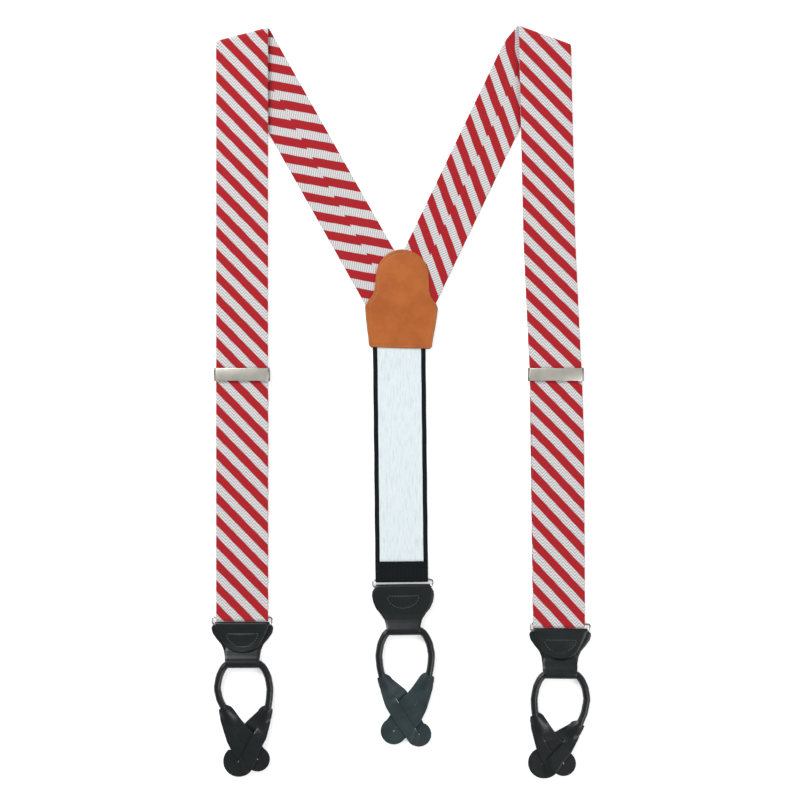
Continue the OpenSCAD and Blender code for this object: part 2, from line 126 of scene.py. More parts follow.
def smooth_line(points: Sequence[Sequence[float]], step: float, window: float) -> Points:
    """Samples a polyline evenly and rounds its corners.

    Args:
        points: corner points, of any dimension, in millimetres.
        step: spacing of the samples.
        window: length over which each corner is rounded.

    Returns:
        The sampled points, one per row.
    """
    p = np.array(points, float)
    length = np.concatenate([[0], np.cumsum(np.linalg.norm(np.diff(p, axis=0), axis=1))])
    pad = window / 2
    first, last = p[1] - p[0], p[-1] - p[-2]
    head = p[0] - first / np.linalg.norm(first) * pad
    tail = p[-1] + last / np.linalg.norm(last) * pad
    q = np.vstack([head, p, tail])
    at = np.concatenate([[-pad], length, [length[-1] + pad]])
    s = np.arange(-pad, length[-1] + pad + step / 2, step)
    fine = np.stack([np.interp(s, at, q[:, k]) for k in range(p.shape[1])], axis=1)
    n = max(1, int(round(window / step)) | 1)
    kernel = np.hanning(n + 2)[1:-1]
    kernel /= kernel.sum()
    return np.stack([np.convolve(fine[:, k], kernel, mode="valid") for k in range(p.shape[1])], axis=1)


def along(line: Points) -> Points:
    """Running length at each point of a sampled line."""
    return np.concatenate([[0], np.cumsum(np.linalg.norm(np.diff(line, axis=0), axis=1))])


def arc_points(cy: float, cz: float, r: float, start: float, end: float, count: int) -> list[tuple[float, float]]:
    """Points on a circular arc.

    Args:
        cy: first coordinate of the centre.
        cz: second coordinate of the centre.
        r: radius.
        start: first angle in degrees.
        end: last angle in degrees.
        count: number of steps.

    Returns:
        The points, first to last.
    """
    angles = [math.radians(start + (end - start) * k / count) for k in range(count + 1)]
    return [(cy + r * math.cos(a), cz + r * math.sin(a)) for a in angles]


def deselect() -> None:
    """Leaves edit mode and selects nothing."""
    if bpy.context.object is not None and bpy.context.object.mode != "OBJECT":
        bpy.ops.object.mode_set(mode="OBJECT")
    bpy.ops.object.select_all(action="DESELECT")


def only(piece: bpy.types.Object) -> None:
    """Selects one object and makes it active.

    Args:
        piece: the piece.
    """
    deselect()
    piece.select_set(True)
    bpy.context.view_layer.objects.active = piece


def grid(name: str, points: Points) -> tuple[bpy.types.Object, Points, Points]:
    """Adds a grid primitive and moves its vertices.

    Args:
        name: the piece's name.
        points: positions in millimetres, by row and column.

    Returns:
        The object, and the column and the row of each vertex.
    """
    rows, cols = points.shape[:2]
    deselect()
    bpy.ops.mesh.primitive_grid_add(x_subdivisions=cols - 1, y_subdivisions=rows - 1, size=2)
    piece = bpy.context.object
    piece.name = piece.data.name = name
    vertices = piece.data.vertices
    co = np.empty(len(vertices) * 3)
    vertices.foreach_get("co", co)
    co = co.reshape(-1, 3)
    i = np.rint((co[:, 0] + 1) / 2 * (cols - 1)).astype(int)
    j = np.rint((co[:, 1] + 1) / 2 * (rows - 1)).astype(int)
    vertices.foreach_set("co", (points[j, i] * MM).ravel())
    return piece, i, j


def shell(name: str, points: Points, uv: Points, angle: float = 45, rim: Optional[Points] = None) -> bpy.types.Object:
    """Shapes a grid primitive into a closed tube, ring or cushion.

    Args:
        name: the piece's name.
        points: positions in millimetres, by row along the piece and column round it.
        uv: the surface's own coordinates in millimetres, in the same order.
        angle: edges sharper than this stay sharp, in degrees.
        rim: which steps round the piece are a cut edge and take its second material.

    Returns:
        The finished object.
    """
    piece, i, j = grid(name, points)
    mesh = piece.data
    owner = np.empty(len(mesh.loops), int)
    mesh.loops.foreach_get("vertex_index", owner)
    mesh.uv_layers.active.data.foreach_set("uv", (uv[j[owner], i[owner]] * MM).ravel())
    if rim is not None:
        for face in mesh.polygons:
            face.material_index = int(rim[min(i[n] for n in face.vertices)])
    bpy.ops.object.mode_set(mode="EDIT")
    bpy.ops.mesh.select_all(action="SELECT")
    bpy.ops.mesh.remove_doubles(threshold=2e-6)
    bpy.ops.mesh.fill_holes(sides=0)
    bpy.ops.mesh.normals_make_consistent(inside=False)
    bpy.ops.object.mode_set(mode="OBJECT")
    bpy.ops.object.shade_smooth_by_angle(angle=math.radians(angle))
    return piece


def swept(line: Points, side: Points, normal: Points, across: Points, lift: Points) -> Points:
    """Places a cross-section at every point of a line.

    Args:
        line: centre points, one row per station.
        side: unit vectors across the piece, one per station.
        normal: unit vectors out of its face, one per station.
        across: distance across at the section's points, the same all along or given for every station.
        lift: distance out of the face, in the same way.

    Returns:
        The positions by station and section point.
    """
    across, lift = np.atleast_2d(across)[:, :, None], np.atleast_2d(lift)[:, :, None]
    return line[:, None, :] + across * side[:, None, :] + lift * normal[:, None, :]


def mapped(across: Points, length: Points) -> Points:
    """Pairs of surface coordinates for every station and section point."""
    return np.stack(np.broadcast_arrays(across[None, :], length[:, None]), axis=2)


def upright(count: int) -> Points:
    """The upward unit vector, once for every station."""
    return np.tile([0.0, 0.0, 1.0], (count, 1))


def directions(line: Points) -> Points:
    """Unit tangents of a sampled line."""
    d = np.gradient(line, axis=0)
    return d / np.linalg.norm(d, axis=1)[:, None]


def resample(line: Points, step: float) -> Points:
    """Takes points off a sampled line at an even spacing, ends included.

    Args:
        line: the sampled line.
        step: the wanted spacing.

    Returns:
        The new points.
    """
    s = along(line)
    at = np.linspace(0, s[-1], max(2, int(round(s[-1] / step)) + 1))
    return np.stack([np.interp(at, s, line[:, k]) for k in range(line.shape[1])], axis=1)


def flat_section(half: float, thick: float, count: int) -> tuple[Points, Points, Points]:
    """Cross-section of a flat strip with round edges, starting in the middle of its under face.

    Args:
        half: half of the strip's width.
        thick: its thickness.
        count: steps over each flat half.

    Returns:
        Running length round the section, distance across and distance up.
    """
    r = thick / 2
    flat = half - r
    top = np.linspace(-flat, flat, 2 * count + 1)
    bend = np.radians(np.linspace(0, 180, 7)[1:-1])
    right = np.stack([flat + r * np.sin(bend), r * np.cos(bend)], axis=1)
    under = np.linspace(flat, 0, count + 1)
    pts = np.vstack([
        np.stack([-under[::-1], np.full(count + 1, -r)], axis=1),
        np.stack([-right[::-1, 0], right[::-1, 1]], axis=1),
        np.stack([top, np.full(2 * count + 1, r)], axis=1),
        right,
        np.stack([under, np.full(count + 1, -r)], axis=1)])
    run = along(pts)
    return run - run[-1] / 2, pts[:, 0], pts[:, 1]


def round_section(r: float, count: int) -> tuple[Points, Points, Points]:
    """Cross-section of a round wire or cord.

    Args:
        r: its radius.
        count: number of sides.

    Returns:
        Running length round the section, distance across and distance up.
    """
    a = np.linspace(-math.pi, math.pi, count + 1)
    return a * r, r * np.sin(a), r * np.cos(a)


def joined(name: str, parts: Sequence[bpy.types.Object]) -> bpy.types.Object:
    """Joins separate meshes into one piece.

    Args:
        name: the joined piece's name.
        parts: the meshes, of which the first keeps its data.

    Returns:
        The joined object.
    """
    deselect()
    for part in parts:
        part.select_set(True)
    bpy.context.view_layer.objects.active = parts[0]
    bpy.ops.object.join()
    piece = bpy.context.object
    piece.name = piece.data.name = name
    bpy.ops.object.transform_apply(location=True, rotation=True, scale=True)
    return piece


def block(size: Sequence[float], at: Sequence[float], bevel: float) -> bpy.types.Object:
    """A small metal block with rounded edges.

    Args:
        size: its three sides in millimetres.
        at: its middle in millimetres.
        bevel: radius of its edges.

    Returns:
        The object.
    """
    deselect()
    bpy.ops.mesh.primitive_cube_add(size=1, location=[a * MM for a in at], scale=[s * MM for s in size])
    piece = bpy.context.object
    bpy.ops.object.transform_apply(location=True, rotation=True, scale=True)
    bpy.ops.object.mode_set(mode="EDIT")
    bpy.ops.mesh.select_all(action="SELECT")
    bpy.ops.mesh.bevel(offset=bevel * MM, segments=3)
    bpy.ops.object.mode_set(mode="OBJECT")
    bpy.ops.object.shade_smooth_by_angle(angle=math.radians(50))
    return piece


def copied(piece: bpy.types.Object) -> bpy.types.Object:
    """A copy of an object with its own mesh.

    Args:
        piece: the piece.

    Returns:
        The copy.
    """
    copy = piece.copy()
    copy.data = piece.data.copy()
    bpy.context.collection.objects.link(copy)
    return copy


def stitch_row(name: str, path: Points, pitch: float, long: float, thick: float) -> bpy.types.Object:
    """A row of thread stitches lying on a surface, each dipping in at both ends.

    Args:
        name: the piece's name.
        path: points of the row in millimetres, already at the surface's height.
        pitch: spacing of the stitches.
        long: length of each stitch.
        thick: diameter of the thread.

    Returns:
        The joined stitches.
    """
    s = along(path)
    count = int(s[-1] / pitch)
    deselect()
    bpy.ops.mesh.primitive_uv_sphere_add(segments=8, ring_count=6, radius=0.5)
    seed = bpy.context.object
    seed.scale = (long * MM, thick * MM, thick * MM)
    bpy.ops.object.transform_apply(scale=True)
    made = []
    for k in range(count):
        at = (k + 0.5) * pitch + (s[-1] - count * pitch) / 2
        here = np.array([np.interp(at, s, path[:, a]) for a in range(3)])
        ahead = np.array([np.interp(at + 0.2, s, path[:, a]) for a in range(3)])
        one = copied(seed)
        one.location = here * MM
        one.rotation_euler = (0, 0, math.atan2(ahead[1] - here[1], ahead[0] - here[0]))
        made.append(one)
    bpy.data.objects.remove(seed)
    piece = joined(name, made)
    bpy.ops.object.shade_smooth()
    return piece


# ---------------------------------------------------------------- finishes


class Shade:
    """A node tree under construction, with short calls for the nodes that the finishes share."""

    def __init__(self, name: str, roughness: float, metallic: float = 0.0, gloss: float = 0.5) -> None:
        """Starts a material with one principled shader.

        Args:
            name: the material's name.
            roughness: its even roughness.
            metallic: 1 for bare metal.
            gloss: strength of its mirror-like share.
        """
        self.material = bpy.data.materials.new(name)
        self.material.use_nodes = True
        self.tree = self.material.node_tree
        self.shader = self.tree.nodes["Principled BSDF"]
        self.shader.inputs["Roughness"].default_value = roughness
        self.shader.inputs["Metallic"].default_value = metallic
        self.shader.inputs["Specular IOR Level"].default_value = gloss

    def node(self, kind: str, **settings: object) -> bpy.types.Node:
        """Adds a node.

        Args:
            kind: its type.
            **settings: its properties.

        Returns:
            The node.
        """
        made = self.tree.nodes.new(kind)
        for key, value in settings.items():
            setattr(made, key, value)
        return made

    def feed(self, socket: Socket, value: object) -> None:
        """Links an output to a socket, or sets the socket to a constant.

        Args:
            socket: the input.
            value: an output, a number or a colour of three numbers.
        """
        if isinstance(value, Socket):
            self.tree.links.new(value, socket)
        else:
            socket.default_value = (*value, 1) if isinstance(value, tuple) and socket.type == "RGBA" else value

    def math(self, operation: str, a: object, b: object = 0.0, c: object = 0.0) -> Socket:
        """Adds one arithmetic node.

        Args:
            operation: what it does.
            a: first value.
            b: second value.
            c: third value.

        Returns:
            The result.
        """
        made = self.node("ShaderNodeMath", operation=operation)
        for socket, value in zip(made.inputs, (a, b, c)):
            self.feed(socket, value)
        return made.outputs[0]

    def times(self, a: object, b: object) -> Socket:
        """Product of two values."""
        return self.math("MULTIPLY", a, b)

    def plus(self, a: object, b: object) -> Socket:
        """Sum of two values."""
        return self.math("ADD", a, b)

    def less(self, a: object, b: object) -> Socket:
        """Difference of two values."""
        return self.math("SUBTRACT", a, b)

    def mix(self, share: object, a: object, b: object) -> Socket:
        """Mixes two colours.

        Args:
            share: 0 for the first and 1 for the second.
            a: the first colour.
            b: the second colour.

        Returns:
            The mixed colour.
        """
        made = self.node("ShaderNodeMix", data_type="RGBA")
        for k, value in ((0, share), (6, a), (7, b)):
            self.feed(made.inputs[k], value)
        return made.outputs[2]

    def ramp(self, value: object, low: float, high: float) -> Socket:
        """Eases a value.

        Args:
            value: the value.
            low: where the result is 0.
            high: where the result is 1.

        Returns:
            The eased value.
        """
        made = self.node("ShaderNodeMapRange", interpolation_type="SMOOTHSTEP")
        for k, item in enumerate((value, low, high)):
            self.feed(made.inputs[k], item)
        return made.outputs[0]

    def pulse(self, phase: object, share: float, soft: float) -> Socket:
        """1 over the first share of every period, with soft edges.

        Args:
            phase: the running phase, 1 for a period.
            share: the part of the period.
            soft: width of the edges.

        Returns:
            The pulse.
        """
        part = self.math("FRACT", phase)
        return self.less(self.ramp(part, 0, soft), self.ramp(part, share, share + soft))

    def threads(self, place: object, pitch: float, share: float, soft: float) -> Socket:
        """A pulse for every thread of a given pitch."""
        return self.pulse(self.math("DIVIDE", place, pitch), share, soft)

    def stretched(self, vector: Socket, scale: tuple[float, float, float]) -> Socket:
        """Stretches coordinates.

        Args:
            vector: the coordinates.
            scale: factor for each axis.

        Returns:
            The stretched coordinates.
        """
        mapping = self.node("ShaderNodeMapping")
        self.feed(mapping.inputs["Vector"], vector)
        mapping.inputs["Scale"].default_value = scale
        return mapping.outputs[0]

    def place(self, scale: tuple[float, float, float] = (1, 1, 1)) -> Socket:
        """Object coordinates, stretched."""
        return self.stretched(self.node("ShaderNodeTexCoord").outputs["Object"], scale)

    def surface(self) -> tuple[Socket, Socket, Socket]:
        """Reads the piece's own coordinates.

        Returns:
            The places across and along in millimetres, and both as a vector.
        """
        uv = self.node("ShaderNodeUVMap", uv_map="UVMap").outputs[0]
        split = self.node("ShaderNodeSeparateXYZ")
        self.feed(split.inputs[0], uv)
        return self.times(split.outputs[0], 1 / MM), self.times(split.outputs[1], 1 / MM), uv

    def noise(self, vector: object, scale: float, detail: float = 3, rough: float = 0.5) -> Socket:
        """Adds fractal noise.

        Args:
            vector: the coordinates.
            scale: how fine it is.
            detail: number of octaves.
            rough: weight of the finer ones.

        Returns:
            A value around one half.
        """
        made = self.node("ShaderNodeTexNoise")
        for key, value in (("Vector", vector), ("Scale", scale), ("Detail", detail), ("Roughness", rough)):
            self.feed(made.inputs[key], value)
        return made.outputs[0]

    def relief(self, height: object, distance: float, strength: float = 1.0) -> None:
        """Feeds a height to the shader's normal.

        Args:
            height: the height, about 0 to 1.
            distance: its depth in metres.
            strength: its share.
        """
        bump = self.node("ShaderNodeBump")
        for key, value in (("Strength", strength), ("Distance", distance), ("Height", height)):
            self.feed(bump.inputs[key], value)
        self.feed(self.shader.inputs["Normal"], bump.outputs[0])

    def colour(self, value: object) -> bpy.types.Material:
        """Feeds the base colour and returns the material."""
        self.feed(self.shader.inputs["Base Color"], value)
        return self.material


@dataclass(frozen=True)
class StripedWeave:
    """The diagonal red and white weave, herringbone outside and twill on the reverse."""

    name: str
    offset: float
    reverse_offset: float
    period: float = 14.9
    reverse_period: float = 14.9
    red_share: float = 0.51
    slope: float = 0.97
    reverse_slope: float = 0.84
    seam_step: float = 0.8
    half_width: float = 17.5
    step: float = 0.5
    bone_width: float = 5.4
    bone_depth: float = 6.2
    bone_pitch: float = 2.15
    twill_pitch: float = 1.9
    line_strength: float = 0.60

    def phases(self, s: Shade, c: Socket, v: Socket, uv: Socket) -> tuple[Socket, Socket, Socket]:
        """Running phase of the stripes.

        Args:
            s: the material under construction.
            c: place across, which runs on round the edges to the reverse.
            v: place along.
            uv: both as a vector.

        Returns:
            The phase, and which points are on the face and on the reverse.
        """
        across = s.math("SNAP", c, self.step)
        reverse = s.math("GREATER_THAN", s.math("ABSOLUTE", c), self.half_width)
        face = s.less(1.0, reverse)
        hand = s.math("SIGN", c)
        length = s.plus(v, s.times(s.less(s.noise(uv, 130, 2), 0.5), 0.9))
        front = s.plus(s.math("MULTIPLY_ADD", across, self.slope, length), self.offset)
        place = s.times(hand, s.less(2 * self.half_width, s.math("ABSOLUTE", across)))
        back = s.math("MULTIPLY_ADD", place, -self.reverse_slope, s.plus(length, self.reverse_offset))
        back = s.math("MULTIPLY_ADD", hand, self.seam_step, back)
        phase = s.plus(s.times(s.math("DIVIDE", front, self.period), face),
                       s.times(s.math("DIVIDE", back, self.reverse_period), reverse))
        return phase, face, reverse

    def material(self) -> bpy.types.Material:
        """Builds the material on the strap's own coordinates.

        Returns:
            The material.
        """
        s = Shade(self.name, 0.82, gloss=0.25)
        s.shader.inputs["Sheen Weight"].default_value = 0.15
        c, v, uv = s.surface()
        phase, face, reverse = self.phases(s, c, v, uv)
        zigzag = s.math("ABSOLUTE", s.less(s.math("FRACT", s.math("DIVIDE", c, self.bone_width)), 0.5))
        bone = s.threads(s.math("MULTIPLY_ADD", zigzag, self.bone_depth, v), self.bone_pitch, 0.46, 0.12)
        twill = s.threads(s.plus(c, s.times(v, -0.8)), self.twill_pitch, 0.48, 0.12)
        line = s.plus(s.times(bone, face), s.times(twill, reverse))
        tint = s.noise(uv, 420, 2)
        pale = s.mix(s.ramp(tint, 0.35, 0.65), (0.70, 0.695, 0.655), (0.70, 0.65, 0.69))
        shade = s.mix(s.ramp(tint, 0.3, 0.7), (0.18, 0.24, 0.20), (0.21, 0.20, 0.25))
        white = s.mix(s.times(line, self.line_strength), pale, shade)
        rib = s.threads(s.math("MULTIPLY_ADD", c, 0.35, v), 0.62, 0.5, 0.3)
        red = s.mix(s.times(rib, 0.5), (0.41, 0.008, 0.014), (0.31, 0.006, 0.012))
        part = s.math("FRACT", phase)
        inside = s.times(s.ramp(part, 0.0, 0.07), s.ramp(part, self.red_share + 0.02, self.red_share - 0.05))
        red = s.mix(inside, (0.24, 0.008, 0.028), red)
        red = s.mix(s.ramp(s.noise(uv, 900, 2), 0.30, 0.45), (0.30, 0.006, 0.011), red)
        red = s.mix(reverse, red, s.mix(0.12, red, (0.25, 0.003, 0.008)))
        weave = s.plus(s.threads(c, 0.5, 0.5, 0.4), s.threads(v, 0.45, 0.5, 0.4))
        s.relief(s.plus(s.times(weave, 0.25), s.times(line, -0.5)), 0.00012, 0.7)
        return s.colour(s.mix(s.pulse(phase, self.red_share, 0.02), white, red))


@dataclass(frozen=True)
class RibbedElastic:
    """White ribbed elastic with a black edge, or all black for the sewn end."""

    name: str
    black: bool
    edge: float = 14.7
    half_width: float = 17.5

    def material(self) -> bpy.types.Material:
        """Builds the material on the band's own coordinates.

        Returns:
            The material.
        """
        s = Shade(self.name, 0.85, gloss=0.12)
        c, v, uv = s.surface()
        rib = s.threads(c, 0.9, 0.5, 0.35)
        weft = s.threads(v, 0.55, 0.5, 0.4)
        s.relief(s.plus(rib, s.times(weft, 0.6)), 0.00018, 0.8)
        dark = s.mix(rib, (0.004, 0.006, 0.007), (0.010, 0.014, 0.016))
        if self.black:
            return s.colour(dark)
        streak = s.ramp(s.noise(s.stretched(uv, (1, 0.13, 1)), 900, 3, 0.6), 0.45, 0.72)
        white = s.mix(s.times(streak, 0.75), (0.80, 0.88, 0.91), (0.62, 0.71, 0.74))
        white = s.mix(s.times(weft, 0.12), white, (0.55, 0.62, 0.64))
        across = s.math("ABSOLUTE", c)
        folded = s.math("MINIMUM", across, s.less(2 * self.half_width, across))
        return s.colour(s.mix(s.math("GREATER_THAN", folded, self.edge), white, dark))


@dataclass(frozen=True)
class Leather:
    """Leather with a fine grain, soft creases and a little unevenness of colour."""

    name: str
    light: tuple[float, float, float]
    dark: tuple[float, float, float]
    roughness: float
    grain: float = 1500.0
    depth: float = 0.00006
    gloss: float = 0.5

    def material(self) -> bpy.types.Material:
        """Builds the material on object coordinates.

        Returns:
            The material.
        """
        s = Shade(self.name, self.roughness, gloss=self.gloss)
        at = s.place()
        cloud = s.noise(at, 70, 4, 0.6)
        fine = s.noise(at, self.grain, 3, 0.6)
        crease = s.noise(s.place((1, 3.2, 1)), 170, 4, 0.65)
        pore = s.node("ShaderNodeTexVoronoi")
        s.feed(pore.inputs["Vector"], at)
        pore.inputs["Scale"].default_value = self.grain * 0.8
        height = s.plus(s.times(fine, 0.5), s.plus(s.times(crease, 1.1), s.times(pore.outputs[0], 0.35)))
        s.relief(height, self.depth, 0.8)
        s.feed(s.shader.inputs["Roughness"], s.math("MULTIPLY_ADD", crease, 0.22, self.roughness - 0.11))
        return s.colour(s.mix(s.ramp(cloud, 0.3, 0.7), self.dark, self.light))


@dataclass(frozen=True)
class Metal:
    """Plated metal with faint brushing."""

    name: str
    tone: tuple[float, float, float]
    roughness: float
    brushing: float = 0.05

    def material(self) -> bpy.types.Material:
        """Builds the material on object coordinates.

        Returns:
            The material.
        """
        s = Shade(self.name, self.roughness, 1.0)
        lines = s.noise(s.place((0.06, 1, 1)), 2600, 3, 0.6)
        smudge = s.noise(s.place(), 160, 3)
        rough = s.math("MULTIPLY_ADD", lines, self.brushing * 2, self.roughness - self.brushing)
        s.feed(s.shader.inputs["Roughness"], rough)
        s.relief(lines, 0.00001, 0.5)
        worn = tuple(t * 0.86 for t in self.tone)
        return s.colour(s.mix(s.ramp(smudge, 0.35, 0.7), self.tone, worn))


@dataclass(frozen=True)
class Thread:
    """Twisted sewing thread."""

    name: str
    tone: tuple[float, float, float]

    def material(self) -> bpy.types.Material:
        """Builds the material on object coordinates.

        Returns:
            The material.
        """
        s = Shade(self.name, 0.6)
        twist = s.noise(s.place(), 3200, 2)
        s.relief(twist, 0.00005, 0.6)
        dull = tuple(t * 0.6 for t in self.tone)
        return s.colour(s.mix(s.ramp(twist, 0.35, 0.65), self.tone, dull))


class Finishes:
    """Every finish of the braces, made once."""

    def __init__(self) -> None:
        """Builds the materials."""
        self.left_weave = StripedWeave("left_striped_weave", 3.15, 5.8, slope=1.03).material()
        self.right_weave = StripedWeave("right_striped_weave", 9.7, 0.15, 15.3, 14.8, slope=1.08,
                                        reverse_slope=0.97).material()
        self.elastic = RibbedElastic("white_elastic", False).material()
        self.elastic_black = RibbedElastic("black_elastic", True).material()
        self.black = Leather("black_leather", (0.0060, 0.0090, 0.0108), (0.0030, 0.0052, 0.0064), 0.36,
                             gloss=0.42).material()
        self.suede = Leather("black_leather_reverse", (0.025, 0.042, 0.046), (0.013, 0.024, 0.027), 0.52,
                             gloss=0.3).material()
        # painted highlight: the pale cool grey given to every cut edge of the black leather stands in for the highlight
        # along its edges
        self.cut = Leather("cut_edge_painted_highlight", (0.26, 0.30, 0.30), (0.09, 0.11, 0.11), 0.7).material()
        self.tan = Leather("tan_leather", (0.44, 0.118, 0.017), (0.36, 0.085, 0.010), 0.50, 1900, 0.00005,
                           0.4).material()
        self.nickel = Metal("satin_nickel", (0.80, 0.77, 0.69), 0.36).material()
        # painted shade: a darker copy of the satin nickel for the frame and pins, which lie in shadow
        self.shaded_nickel = Metal("shaded_nickel", (0.34, 0.33, 0.30), 0.40).material()
        self.wire = Metal("bright_wire", (0.50, 0.50, 0.49), 0.20, 0.02).material()
        self.white_thread = Thread("white_thread", (0.75, 0.75, 0.72)).material()
        self.tan_thread = Thread("tan_thread", (0.56, 0.20, 0.065)).material()
        self.black_thread = Thread("black_thread", (0.10, 0.125, 0.135)).material()


def dress(piece: bpy.types.Object, *materials: bpy.types.Material) -> None:
    """Gives a piece its materials.

    Args:
        piece: the piece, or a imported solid.
        *materials: the materials, in the order of its face indices.
    """
    piece.data.materials.clear()
    for material in materials:
        piece.data.materials.append(material)


def settle(piece: bpy.types.Object, body: Optional[str], nodes: Sequence[str]) -> None:
    """Hides the solids that a piece stands for, lets it ride and logs its faces.

    Args:
        piece: the finished piece.
        body: the body it rides on, or None where it bends between two.
        nodes: the solids it replaces.
    """
    if nodes:
        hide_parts(*nodes)
    if body is not None:
        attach(piece, body)
    log.info("%s: %d faces", piece.name, len(piece.data.polygons))


# ---------------------------------------------------------------- straps


@dataclass
class Strap:
    """One strap: its front run, its fold on the shoulder, its back run, its loop on the ring and its sewn end."""

    side: str
    weave: bpy.types.Material
    fold: Place
    turn: float
    lean: float
    front_line: list[Place]
    back_line: list[Place]
    ring: Place
    ring_turn: float
    adjuster: Place
    half: float = 17.5
    thick: float = 1.2
    tail_thick: float = 1.0
    fold_r: float = 1.8
    fold_z: float = 2.4
    fold_front: float = 13.0
    fold_back: float = 16.5
    loop_r: float = 1.3
    loop_nose: float = 2.15
    layer_end: float = 10.4
    front_z: float = 3.15

    def section(self, thick: float) -> tuple[Points, Points, Points]:
        """Cross-section of the strap, with a slight crown in front and a seam along the reverse.

        Args:
            thick: the ribbon's thickness.

        Returns:
            Running length round the section, and distances across and out.
        """
        run, across, lift = flat_section(self.half, thick, 14)
        front = np.where(lift > 0.3, 0.08 * (1 - (across / self.half) ** 2), 0)
        seam = np.where(lift < -0.3, 0.28 * np.exp(-(across / 0.7) ** 2), 0)
        lift = lift + front + seam
        c = np.where(np.abs(run) < self.half, across, run)
        c = np.where(lift < -0.3, np.where(run > 0, 1, -1) * (2 * self.half - np.abs(across)), c)
        c = np.where(np.abs(lift) <= 0.3, np.sign(across) * self.half, c)
        return c, across, lift

    def ribbon(self, name: str, line: Points, side: Points, v: Points, thick: float = 1.2) -> bpy.types.Object:
        """Sweeps the strap's cross-section along a line.

        Args:
            name: the piece's name.
            line: middle points of the strap, in the direction of growing v.
            side: unit vectors across.
            v: the weave's own running length at each station.
            thick: the ribbon's thickness.

        Returns:
            The finished piece.
        """
        c, across, lift = self.section(thick)
        normal = np.cross(side, directions(line))
        normal /= np.linalg.norm(normal, axis=1)[:, None]
        piece = shell(name, swept(line, side, normal, across, lift), mapped(c, v), 60)
        dress(piece, self.weave)
        return piece

    def across_at(self, line: Points) -> Points:
        """Finds the strap's own crosswise direction.

        Args:
            line: middle points of the strap.

        Returns:
            Unit vectors square to the line in plan, to its right-hand side as it climbs.
        """
        d = directions(line)
        flat = np.stack([d[:, 1], -d[:, 0], np.zeros(len(d))], axis=1)
        return flat / np.linalg.norm(flat, axis=1)[:, None]

    def axes(self) -> tuple[Points, Points, Points, Points]:
        """Finds the directions of the fold.

        Returns:
            Unit vectors in plan: out of the fold, along it, down the front run and across it.
        """
        t, w = math.radians(self.turn), math.radians(self.lean)
        out = np.array([-math.sin(t), math.cos(t)])
        edge = np.array([math.cos(t), math.sin(t)])
        down = np.array([math.sin(w), -math.cos(w)])
        return out, edge, down, np.array([-down[1], down[0]])

    def fold_piece(self) -> bpy.types.Object:
        """Makes the stretch that turns over the shoulder, slanting across the strap.

        Returns:
            The finished piece.
        """
        out, edge, down, over = self.axes()
        v = np.linspace(-self.fold_front, self.fold_back, 90)
        c, across, lift = self.section(self.thick)
        p = across[None, :, None] * over - v[:, None, None] * down
        quarter = math.pi * self.fold_r / 2
        s = p @ out - quarter
        e = p @ edge
        theta = np.clip(s / self.fold_r + math.pi / 2, 0, math.pi)
        q = np.where(s <= -quarter, s + quarter, np.where(s >= quarter, quarter - s, self.fold_r * np.sin(theta)))
        q = q + lift * np.sin(theta)
        plan = np.array(self.fold) + e[..., None] * edge + q[..., None] * out
        z = self.fold_z + (self.fold_r + lift) * np.cos(theta)
        points = np.concatenate([plan, z[..., None]], axis=2)
        piece = shell(f"{self.side}_shoulder_turn", points, mapped(c, v), 60)
        dress(piece, self.weave)
        settle(piece, None, [f"{self.side}_shoulder_fold"])
        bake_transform(piece)
        return piece

    def back_start(self) -> Points:
        """Finds where the back run leaves the folded stretch.

        Returns:
            The plan point.
        """
        out, edge, down, _ = self.axes()
        v = self.fold_back
        return np.array(self.fold) + (v * (down @ out) + math.pi * self.fold_r) * out - v * (down @ edge) * edge

    def back_run(self) -> bpy.types.Object:
        """Makes the run down the back, lying reverse side up, to its cut end in the patch.

        Returns:
            The finished piece.
        """
        start = self.back_start()
        plan = smooth_line([start, *self.back_line], 0.5, 9.0)
        far = np.linalg.norm(plan - np.array(self.fold), axis=1)
        z = 0.6 + 1.15 * smoothstep((far - 128) / 38)
        line = np.column_stack([plan, z])
        keep = resample(line, 1.5)
        v = self.fold_back + along(keep[:, :2])
        over = self.across_at(keep)
        piece = self.ribbon(f"{self.side}_back_run", keep, -over, v)
        only(piece)
        sign = -1 if self.side == "left" else 1
        bpy.ops.object.mode_set(mode="EDIT")
        bpy.ops.mesh.select_all(action="SELECT")
        bpy.ops.mesh.bisect(plane_co=(sign * 0.1 * MM, 0, 0), plane_no=(sign, 0, 0), use_fill=True, clear_inner=True)
        bpy.ops.object.mode_set(mode="OBJECT")
        settle(piece, "back_panel", [f"{self.side}_back_strap"])
        return piece

    def front_centre(self) -> tuple[Points, Points]:
        """Middle line of the front run from the ring up to the fold, and the weave's length on it.

        Returns:
            Plan points from the bottom to the top, and the running length, zero at the fold.
        """
        plan = smooth_line([self.fold, *self.front_line], 0.5, 24.0)
        plan[0] = self.fold
        return plan[::-1], -along(plan)[::-1]

    def height(self, y: Points) -> Points:
        """Height of the front run's middle, level over the whole travel of the adjuster.

        Args:
            y: places along the run.

        Returns:
            The heights.
        """
        ring, adj = self.ring[1], self.adjuster[1]
        at = [ring + self.layer_end, ring + 30, adj + 130, 212, 224, 300]
        low = [2.6, self.front_z, self.front_z, 3.25, 3.6, 3.6]
        knots = np.arange(at[0] - 20, 300, 0.5)
        kernel = np.hanning(25)[1:-1]
        flat = np.interp(knots, at, low)
        eased = np.convolve(np.pad(flat, 11, mode="edge"), kernel / kernel.sum(), mode="valid")
        near = smoothstep((knots - at[0]) / 8)
        return np.interp(y, knots, flat + (eased - flat) * near) + self.thick / 2

